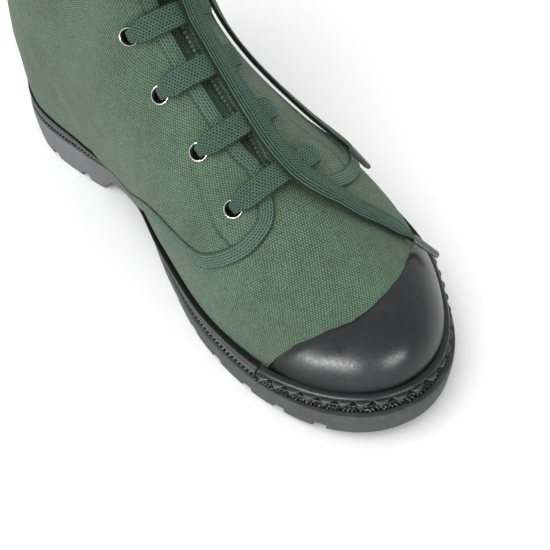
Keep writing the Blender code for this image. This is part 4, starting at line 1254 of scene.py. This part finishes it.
def build_tape(side):
    """Tape round the edge of one quarter, rolled over the free edge of the throat."""
    s, t = edge_curve(side)
    free = smooth_step(t, 0.975, 0.999) * smooth_step(s, THROAT_RIB, QUARTER_EDGE[-1][0])
    extra = tape_extra(s, t)
    along = run_length(surface(s, t, side))
    columns = []
    uv = []
    for inward, height in TAPE_INSIDE_ROWS:
        here_s, here_t = move_in(s, t, side, TAPE_START + inward)
        columns.append(skin(s + (here_s - s) * free, t + (here_t - t) * free, side, height * free))
        uv.append(np.stack([along, np.full(len(s), -inward)], axis=-1))
    for inward, height in TAPE_ROWS:
        here_s, here_t = move_in(s, t, side, TAPE_START + inward)
        columns.append(skin(here_s, here_t, side, height + extra * smooth_step(height, 0.0, 0.8)))
        uv.append(np.stack([along, np.full(len(s), inward)], axis=-1))
    shape = Shape()
    shape.grid(np.stack(columns, axis=1), side < 0, uv=np.stack(uv, axis=1))
    shape.make("edge_tape_" + SIDE_NAMES[side], [TAPE], "binding_" + SIDE_NAMES[side])


# Stitched seam down each quarter from its second eyelet to the tape: s, t, how far it draws the cloth down,
# which also sets the painted shade along it.
SEAM_ROWS = (
    (6.19, 0.753, 0.20),
    (5.73, 0.713, 0.22),
    (5.185, 0.657, 0.26),
    (4.95, 0.629, 0.55),
    (4.64, 0.628, 0.62),
)
SEAM_HALF = 0.75
SEAM_DROP = 0.6

# Hem of the collar, rolled in over the upper's edge: fall of t below the collar, offset from the upper.
HEM_ROWS = (
    (0.000, 0.6),
    (0.000, -1.2),
    (0.002, -2.0),
    (0.012, -2.4),
    (0.050, -2.5),
    (0.052, -1.9),
)


def seam_depth(points, side):
    """How deep the quarter's seam draws down the cloth at some points, from 0 to 1."""
    at = np.linspace(0.0, len(SEAM_ROWS) - 1.0, 120)
    s, t, depth = [np.interp(at, np.arange(len(SEAM_ROWS)), table(SEAM_ROWS, k)) for k in range(3)]
    line = skin(s, t, side, PANEL_TOP)
    flat = points.reshape(-1, 3)
    away = np.linalg.norm(flat[:, None, :] - line[None, :, :], axis=-1)
    nearest = np.argmin(away, axis=1)
    fall = np.exp(-(away[np.arange(len(flat)), nearest] / SEAM_HALF) ** 2)
    return (depth[nearest] * fall).reshape(points.shape[:2])


def panel_grid(side):
    """s and t over the quarter panel, inside its tape and down to its tuck under the side band."""
    edge_s, edge_t = move_in(*edge_curve(side), side, PANEL_INSET)
    tip = int(np.argmin(edge_s))
    low_s, low_t = edge_s[:tip + 1][::-1], edge_t[:tip + 1][::-1]
    front = float(edge_s[tip]) + 0.002
    near = front + (np.linspace(0.0, 1.0, 28) ** 2) * PANEL_DENSE_RIBS
    far = even_ribs(front + PANEL_DENSE_RIBS, LAST_RIB, CLOTH_STEP, 0.6, side)
    s = np.concatenate([near, far[1:]])
    low = np.where(s > low_s[-1], 0.0, np.interp(s, low_s, low_t))
    low = np.maximum(low, heights_to_t(s, side, [BAND_TUCK])[:, 0])
    high = np.where(s > COLLAR_RIB, 1.0, np.interp(s, edge_s[tip:], edge_t[tip:]))
    high = np.maximum(high, low + 0.0005)
    share = np.linspace(0.0, 1.0, 54)
    return np.repeat(s[:, None], len(share), axis=1), low[:, None] + (high - low)[:, None] * share[None, :]


def build_panel(side):
    """Quarter panel under its tape, the side band and the hem of the collar."""
    s, t = panel_grid(side)
    top = PANEL_TOP + tape_extra(s, t) * smooth_step(t, 0.86, 0.97) * (s < COLLAR_RIB)
    seam = seam_depth(skin(s, t, side, top), side)
    body = skin(s, t, side, top - SEAM_DROP * seam)
    uv = cloth_uv(s, t, side)
    shape = Shape()
    # The seam's depth, as a number below 0, paints shade along it.
    shape.grid(body, side < 0, uv=uv, dust_and_painted_shade=-seam, keep=clear_of_holes(body))
    skirt = np.stack([skin(s[:, 0], t[:, 0], side, 0.0), body[:, 0]], axis=1)
    shape.grid(skirt, side < 0, uv=np.stack([uv[:, 0], uv[:, 0]], axis=1))
    hemmed = s[:, -1] > COLLAR_RIB
    lip = [body[:, -1]]
    lip_uv = [uv[:, -1]]
    for fall, offset in HEM_ROWS:
        lip.append(skin(s[:, -1], t[:, -1] - fall * hemmed, side, offset * hemmed))
        lip_uv.append(uv[:, -1] + np.array([0.0, 0.4 + 110.0 * fall]))
    shape.grid(np.stack(lip, axis=1), side < 0, uv=np.stack(lip_uv, axis=1))
    label = SIDE_NAMES[side]
    shape.make("quarter_cloth_" + label, [CANVAS], "quarter_" + label, weld=0.005, sharp=60.0)


def round_the_end(first, last, step, t):
    """Ribs, side and length so far, from the medial side round the end of the boot to the lateral side."""
    start = 0.0
    for side in (-1, 1):
        s = even_ribs(first, last, step, t, side)
        s = s if side < 0 else s[::-1][1:]
        run = start + run_length(surface(s, t, side))
        start = run[-1]
        yield s, side, run


def beside(s, side, heights, offsets):
    """Points beside the upper at heights over the sole, moved out level by a grid of offsets."""
    t = heights_to_t(s, side, heights)
    grid_s = np.repeat(s[:, None], t.shape[1], axis=1)
    base = surface(grid_s, t, side)
    normal = surface_normal(grid_s, t, side)
    end = (grid_s < TINY) | (grid_s > LAST_RIB - TINY)
    normal = np.where(end[..., None], normal + surface_normal(grid_s, t, -side), normal)
    level = unit(normal * np.array([1.0, 1.0, 0.0]))
    spot = base + level * offsets[..., None]
    rise = base[..., 2] - surface(s, 0.0, side)[:, None, 2]
    spot[..., 2] = deck(spot[..., 0]) + GAP + rise + np.minimum(heights, 0.0)[None, :]
    return spot


def build_band():
    """Side band from the toe strip round the heel and back, with grooves and a knurled bead."""
    heights, offsets, teeth = [table(BAND_ROWS, k) for k in range(3)]
    groove = 1.0 - smooth_step(offsets, 2.4, 2.9)
    # Dust on the band's faces, painted shade in its grooves.
    face = BAND_DUST * (1.0 - groove) * (1.0 - teeth) + GROOVE_SHADE * groove
    blocks = []
    dust_and_painted_shade_rows = []
    for s, side, run in round_the_end(BAND_RIB, LAST_RIB, KNURL_PITCH / 6.0, 0.05):
        tooth = np.clip(1.7 * np.sin(2.0 * math.pi * run / KNURL_PITCH), -1.0, 1.0)
        extra = rib("inset", s) - FOOT_INSET
        grid = offsets[None, :] + extra[:, None] + KNURL_DEPTH * tooth[:, None] * teeth[None, :]
        blocks.append(beside(s, side, heights, grid))
        # Painted shade over the knurl, darkest in the gaps between its teeth.
        gap = KNURL_GAP_SHADE * (1.0 - smooth_step(tooth, -0.6, 0.5)) + KNURL_SHADE
        dust_and_painted_shade_rows.append(face[None, :] + gap[:, None] * teeth[None, :])
    shape = Shape()
    shape.grid(np.concatenate(blocks), True, dust_and_painted_shade=np.concatenate(dust_and_painted_shade_rows))
    shape.make("side_band", [RUBBER], "foxing", sharp=50.0)


# Section of the toe strip: height over the outsole, offset, share of the teeth, share of the rough bead.
STRIP_ROWS = (
    (-0.25, 4.6, 0.0, 0.0),
    (0.05, 5.0, 0.0, 0.3),
    (0.40, 5.2, 0.0, 0.8),
    (0.90, 5.3, 0.0, 1.0),
    (1.40, 5.4, 0.0, 1.0),
    (1.90, 5.3, 0.0, 1.0),
    (2.40, 5.0, 0.0, 0.9),
    (2.80, 4.5, 0.1, 0.6),
    (3.20, 4.0, 0.5, 0.3),
    (3.60, 3.7, 0.9, 0.0),
    (4.20, 3.6, 1.0, 0.0),
    (4.80, 3.6, 1.0, 0.0),
    (5.40, 3.6, 1.0, 0.0),
    (6.00, 3.7, 1.0, 0.0),
    (6.60, 3.8, 1.0, 0.0),
    (7.10, 3.9, 0.95, 0.0),
    (7.50, 4.0, 0.80, 0.0),
    (7.80, 4.1, 0.45, 0.0),
    (8.00, 4.0, 0.10, 0.0),
    (8.25, 4.2, 0.0, 0.0),
    (8.60, 4.6, 0.0, 0.0),
    (9.20, 4.6, 0.0, 0.0),
    (9.80, 4.3, 0.0, 0.0),
    (10.30, 3.9, 0.0, 0.0),
    (10.60, 3.4, 0.0, 0.0),
    (10.75, 2.2, 0.0, 0.0),
)
TEETH = 21
TOOTH_HEIGHT = 2.0
TOOTH_LOW = 2.7
TOOTH_TOP = 7.9
TOOTH_TIP_HALF = 0.10
TOOTH_SPREAD = 0.78
LUMP_HEIGHT = 0.55
TWIST_HEIGHT = 0.50

# Dust and painted shade of the toe strip: dust on its teeth, painted shade between them, in the bead's
# troughs and on the lip.
TOOTH_DUST = 0.25
HOLLOW_SHADE = -0.85
TROUGH_SHADE = -0.9
LIP_SHADE = -0.34

# Waves that make the bead of the toe strip rough: height, turns per millimetre in radians, shift.
LUMP_ROWS = (
    (0.35, 2.9, 0.0),
    (0.30, 4.7, 1.0),
    (0.25, 7.3, 2.0),
    (0.20, 1.3, 0.5),
)


def build_strip():
    """Toe strip: a lip, a row of rounded teeth that point down, and a rough bead."""
    heights, offsets, teeth, bead = [table(STRIP_ROWS, k) for k in range(4)]
    parts = list(round_the_end(STRIP_RIB, 0.0, 0.4, 0.0))
    pitch = parts[-1][2][-1] / TEETH
    up = np.clip((heights - TOOTH_LOW) / (TOOTH_TOP - TOOTH_LOW), 0.0, 1.0)
    half = TOOTH_TIP_HALF + TOOTH_SPREAD * up ** 0.8
    # Painted shade on the lip above the teeth.
    lip = LIP_SHADE * smooth_step(heights, TOOTH_TOP, TOOTH_TOP + 0.9)
    blocks = []
    dust_and_painted_shade_rows = []
    for s, side, run in parts:
        phase = np.abs((run / pitch) % 1.0 - 0.5) * 2.0
        inside = np.sqrt(np.clip(1.0 - (phase[:, None] / half[None, :]) ** 2, 0.0, 1.0))
        inside = inside * smooth_step(up, 0.02, 0.30)[None, :]
        lumps = sum(height * np.sin(run * rate + shift) for height, rate, shift in LUMP_ROWS)[:, None]
        twist = np.sin(run[:, None] * 3.9 + heights[None, :] * 2.6)
        grid = offsets[None, :] + TOOTH_HEIGHT * inside * teeth[None, :]
        grid = grid + (LUMP_HEIGHT * lumps + TWIST_HEIGHT * twist) * bead[None, :]
        blocks.append(beside(s, side, heights, grid))
        # Painted shade between the teeth and in the bead's troughs.
        hollow = HOLLOW_SHADE * (1.0 - inside) * teeth[None, :]
        trough = TROUGH_SHADE * (1.0 - smooth_step(lumps + twist, -0.2, 0.9)) * bead[None, :]
        dust_and_painted_shade_rows.append(TOOTH_DUST * inside * teeth[None, :] + hollow + trough + lip[None, :])
    grid = np.concatenate(blocks)
    dust_and_painted_shade = np.concatenate(dust_and_painted_shade_rows)
    rough = np.nonzero(bead > 0.0)[0][-1]
    shape = Shape()
    shape.grid(grid[:, :rough + 1], dust_and_painted_shade=dust_and_painted_shade[:, :rough + 1], number=1)
    shape.grid(grid[:, rough:], dust_and_painted_shade=dust_and_painted_shade[:, rough:])
    shape.make("toe_strip", [RUBBER, BEAD], "toe_bumper", weld=0.001, sharp=60.0)


# Back edge of the toe cap: t, s on the medial side, s on the lateral side.
CAP_EDGE = (
    (0.00, 3.06, 3.16),
    (0.24, 3.08, 3.18),
    (0.40, 3.12, 3.24),
    (0.52, 3.14, 3.27),
    (0.62, 3.12, 3.25),
    (0.72, 3.10, 3.20),
    (0.80, 3.06, 3.15),
    (0.88, 3.05, 3.14),
    (0.95, 3.08, 3.12),
    (1.00, 3.10, 3.10),
)
CAP_RISE = 2.65
CAP_EDGE_RISE = 1.75
CAP_LOW = 0.9
# Painted shade that darkens the colour and gloss of the cap's low part.
CAP_LOW_SHADE = -0.62
CAP_ROUNDS = 40

# Rolled back edge of the cap, the last four columns: step beyond the edge as s, offset from the upper.
CAP_ROLL = (
    (0.000, CAP_EDGE_RISE - 0.15),
    (0.010, CAP_EDGE_RISE - 0.55),
    (0.014, 0.6),
    (0.012, -0.1),
)


def build_cap():
    """Toe cap over the front of the upper, a smooth dome with a rolled and slightly uneven back edge."""
    shape = Shape()
    share = np.linspace(0.0, 1.0, 70)
    for side in (-1, 1):
        part = np.concatenate([even_ribs(0.0, CAP_RIB, 0.9, 0.6, side) / CAP_RIB, np.ones(3)])
        low = heights_to_t(part * CAP_RIB, side, [CAP_LOW])[:, 0]
        t = low[:, None] + (1.0 - low)[:, None] * share[None, :]
        back = through(table(CAP_EDGE, 0), table(CAP_EDGE, 1 if side < 0 else 2), t)
        wavy = 0.006 * np.sin(31.0 * t + side) + 0.005 * np.sin(67.0 * t)
        roll = np.zeros(len(part))
        roll[-4:] = table(CAP_ROLL, 0)
        s = part[:, None] * (back + wavy * (1.0 - smooth_step(t, 0.9, 1.0))) + roll[:, None]
        rise = CAP_RISE - (CAP_RISE - CAP_EDGE_RISE) * smooth_step(part, 0.80, 0.985)
        rise[-4:] = table(CAP_ROLL, 1)
        # Painted shade on the cap's low part, fading out between 22 and 38 per cent of the way up.
        shade = np.repeat(CAP_LOW_SHADE * (1.0 - smooth_step(share, 0.22, 0.38))[None, :], len(part), axis=0)
        shape.grid(skin(s, t, side, rise[:, None]), side < 0, dust_and_painted_shade=shade)
    cap = shape.make("toe_cap_rubber", [CAP], "toe_cap", weld=0.01)
    with edited(cap.data) as work:
        inner = [vert for vert in work.verts if not vert.is_boundary]
        for _ in range(CAP_ROUNDS):
            bmesh.ops.smooth_vert(work, verts=inner, factor=0.5, use_axis_x=True, use_axis_y=True,
                                  use_axis_z=True)


def turn_at(x):
    """Turn of the sole's outline at a place along the boot."""
    return math.acos(1.0 - 2.0 * x / LENGTH)


def plain_object(name, points, faces):
    """Object from points in millimetres, with outward faces."""
    mesh = bpy.data.meshes.new(name)
    mesh.from_pydata(place(points).tolist(), [], faces)
    with edited(mesh) as work:
        bmesh.ops.recalc_face_normals(work, faces=work.faces[:])
    return put_in_scene(name, mesh)


def sole_body():
    """Outsole without its tread: rings up its side, closed by strips across it below and above."""
    turns = sorted(list(np.linspace(0.0, math.pi, 141)) + [turn_at(x) for x in HEEL_BREAST])
    ring = [(turn, -1) for turn in turns] + [(turn, 1) for turn in turns[-2:0:-1]]
    size = len(ring)
    points = []
    for share, inset in RIM_ROWS:
        for turn, side in ring:
            point, _ = outline(turn, side, inset)
            low = float(underside(point[0]))
            points.append((point[0], point[1], low + share * (float(deck(point[0])) - low)))
    faces = []
    for level in range(len(RIM_ROWS) - 1):
        for j in range(size):
            n = (j + 1) % size
            faces.append((level * size + j, level * size + n, (level + 1) * size + n, (level + 1) * size + j))
    for base in (0, (len(RIM_ROWS) - 1) * size):
        for i in range(len(turns) - 1):
            corners = (base + i, base + i + 1, base + (size - i - 1) % size, base + (size - i) % size)
            faces.append(tuple(dict.fromkeys(corners)))
    return plain_object("sole_body", points, faces)


def build_outsole():
    """Lugged outsole with fine sides and the tread cut into it."""
    body = sole_body()
    for name, points, faces in tread_cutters():
        modifier = body.modifiers.new(name, "BOOLEAN")
        modifier.operation = "DIFFERENCE"
        modifier.solver = "EXACT"
        modifier.object = plain_object(name, points, faces)
    bpy.context.view_layer.update()
    seen = body.evaluated_get(bpy.context.evaluated_depsgraph_get())
    mesh = bpy.data.meshes.new_from_object(seen)
    for item in [body] + [modifier.object for modifier in body.modifiers]:
        bpy.data.objects.remove(item, do_unlink=True)
    mesh.materials.clear()
    mesh.materials.append(SOLE)
    smooth_faces(mesh, 32.0)
    add_piece("sole_rubber", mesh, "outsole")


def groove_box(centre, direction, length, width, top):
    """Eight points of a groove cutter with one leaning wall."""
    across = np.array([-direction[1], direction[0]])
    points = []
    for along in (0.0, length):
        middle = np.asarray(centre) + direction * along
        for shift, z in ((-0.5, CUT_BELOW), (0.9, CUT_BELOW), (0.5, top), (-0.5, top)):
            spot = middle + across * width * shift
            points.append((spot[0], spot[1], z))
    faces = [(0, 1, 2, 3), (7, 6, 5, 4), (0, 4, 5, 1), (1, 5, 6, 2), (2, 6, 7, 3), (3, 7, 4, 0)]
    return points, faces


def join_boxes(name, boxes):
    """Name, points and faces of a cutter made of several boxes."""
    points = []
    faces = []
    for box_points, box_faces in boxes:
        start = len(points)
        points += box_points
        faces += [tuple(start + a for a in face) for face in box_faces]
    return name, points, faces


def lug_top(x, shallow=0.0):
    """Height where a groove of the tread ends, which may be cut less deep."""
    return float(underside(x)) + LUG_DEPTH - shallow


def rim_grooves():
    """Grooves that run in from the rim on both sides."""
    boxes = []
    for x, lean in TREAD_ROWS:
        for side in (-1, 1):
            start, out = outline(turn_at(x), side, -CUT_OUTSIDE)
            angle = math.radians(lean) * side
            inward = -out
            bent = np.array([inward[0] * math.cos(angle) - inward[1] * math.sin(angle),
                             inward[0] * math.sin(angle) + inward[1] * math.cos(angle)])
            if bent[1] * side > 0.0:
                bent = inward
            boxes.append(groove_box(start, bent, GROOVE_REACH + CUT_OUTSIDE, GROOVE_WIDTH, lug_top(x)))
    return join_boxes("cut_rim", boxes)


def channel(side):
    """Lengthwise channel of one side, where the rim's grooves end."""
    stops = np.linspace(CHANNEL_FROM, CHANNEL_TO, 8)
    line = np.array([outline(turn_at(x), side, GROOVE_REACH + 1.5)[0] for x in stops])
    points = []
    for point, ahead in zip(line, unit(np.gradient(line, axis=0))):
        across = np.array([-ahead[1], ahead[0]]) * CHANNEL_HALF
        a = point + across
        b = point - across
        top = lug_top(point[0], 0.5)
        points += [(a[0], a[1], CUT_BELOW), (b[0], b[1], CUT_BELOW), (b[0], b[1], top), (a[0], a[1], top)]
    faces = [tuple(quad) for quad in grid_faces(len(line), 4, wrap=True).tolist()]
    faces += [(0, 1, 2, 3), tuple(4 * (len(line) - 1) + k for k in range(4))]
    return "cut_channel_%d" % side, points, faces


def centre_grooves():
    """Grooves across the tread between both channels."""
    boxes = []
    for x in CENTRE_GROOVES:
        right, left = [outline(turn_at(x), side, GROOVE_REACH + 1.0)[0] for side in (-1, 1)]
        width = float(np.linalg.norm(left - right))
        boxes.append(groove_box(right, (left - right) / width, width, GROOVE_WIDTH - 1.0, lug_top(x, 1.0)))
    return join_boxes("cut_centre", boxes)


def tread_cutters():
    """Cutters of the tread: name, points and faces."""
    return [rim_grooves(), channel(-1), channel(1), centre_grooves()]


# Section of an eyelet's front: radius, height over the cloth's lift, 1 where it is dark.
EYELET_FRONT = (
    (2.55, -1.2, 1),
    (2.60, 0.30, 1),
    (2.95, 0.62, 1),
    (3.35, 0.72, 1),
    (3.52, 0.80, 0),
    (3.72, 0.90, 0),
    (3.95, 0.80, 0),
    (4.10, 0.45, 0),
    (4.12, -0.30, 0),
)

# Section of its back, inside the upper: radius, height over the upper.
EYELET_BACK = (
    (4.10, -1.75),
    (4.10, -2.20),
    (3.60, -2.60),
    (2.90, -2.55),
    (2.55, -2.20),
)


def build_eyelets():
    """Rolled metal eyelets with a bright rim and a dark barrel."""
    turns = np.linspace(0.0, 2.0 * math.pi, 40, endpoint=False)
    for (side, k), (centre, axis, lift) in EYELETS.items():
        helper = unit(np.cross(axis, np.array([1.0, 0.0, 0.0])))
        other = np.cross(axis, helper)
        spokes = np.cos(turns)[:, None] * helper + np.sin(turns)[:, None] * other
        rows = [(radius, lift + height, dark) for radius, height, dark in EYELET_FRONT]
        rows += [(radius, height, 0) for radius, height in EYELET_BACK]
        rows.append(rows[0])
        shape = Shape()
        for low, high in zip(rows[:-1], rows[1:]):
            pair = [centre + spokes * radius + axis * height for radius, height, _ in (low, high)]
            shape.grid(np.stack(pair), wrap=True, number=low[2])
        label = "%s_%d" % (SIDE_NAMES[side], k + 1)
        shape.make("eyelet_ring_" + label, [SILVER, DARK_METAL], "eyelet_" + label, weld=0.002,
                   sharp=50.0)


def copy_node(node, name, material, levels):
    """Piece that takes a solid's own form, rounded by subdivision where levels is above 0."""
    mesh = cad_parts[node].data.copy()
    mesh.name = name
    with edited(mesh) as work:
        bmesh.ops.remove_doubles(work, verts=work.verts[:], dist=0.01 * MM)
        bmesh.ops.join_triangles(work, faces=work.faces[:], angle_face_threshold=0.9,
                                 angle_shape_threshold=1.2)
        layer = work.loops.layers.uv.new("lengths")
        for face in work.faces:
            for loop in face.loops:
                spot = loop.vert.co / MM
                loop[layer].uv = (spot.x - spot.z * 0.6, spot.y)
    mesh.materials.clear()
    mesh.materials.append(material)
    smooth_faces(mesh)
    item = add_piece(name, mesh, node)
    if levels:
        modifier = item.modifiers.new("round", "SUBSURF")
        modifier.levels = levels
        modifier.render_levels = levels


build_camera()
build_ends()
build_bars()
build_upper()
for boot_side in (-1, 1):
    build_panel(boot_side)
    build_tape(boot_side)
build_cap()
build_strip()
build_band()
build_outsole()
build_eyelets()
copy_node("tongue", "tongue_cloth", CANVAS, levels=2)
copy_node("insole", "insole_pad", LINING, levels=0)
build_stage()
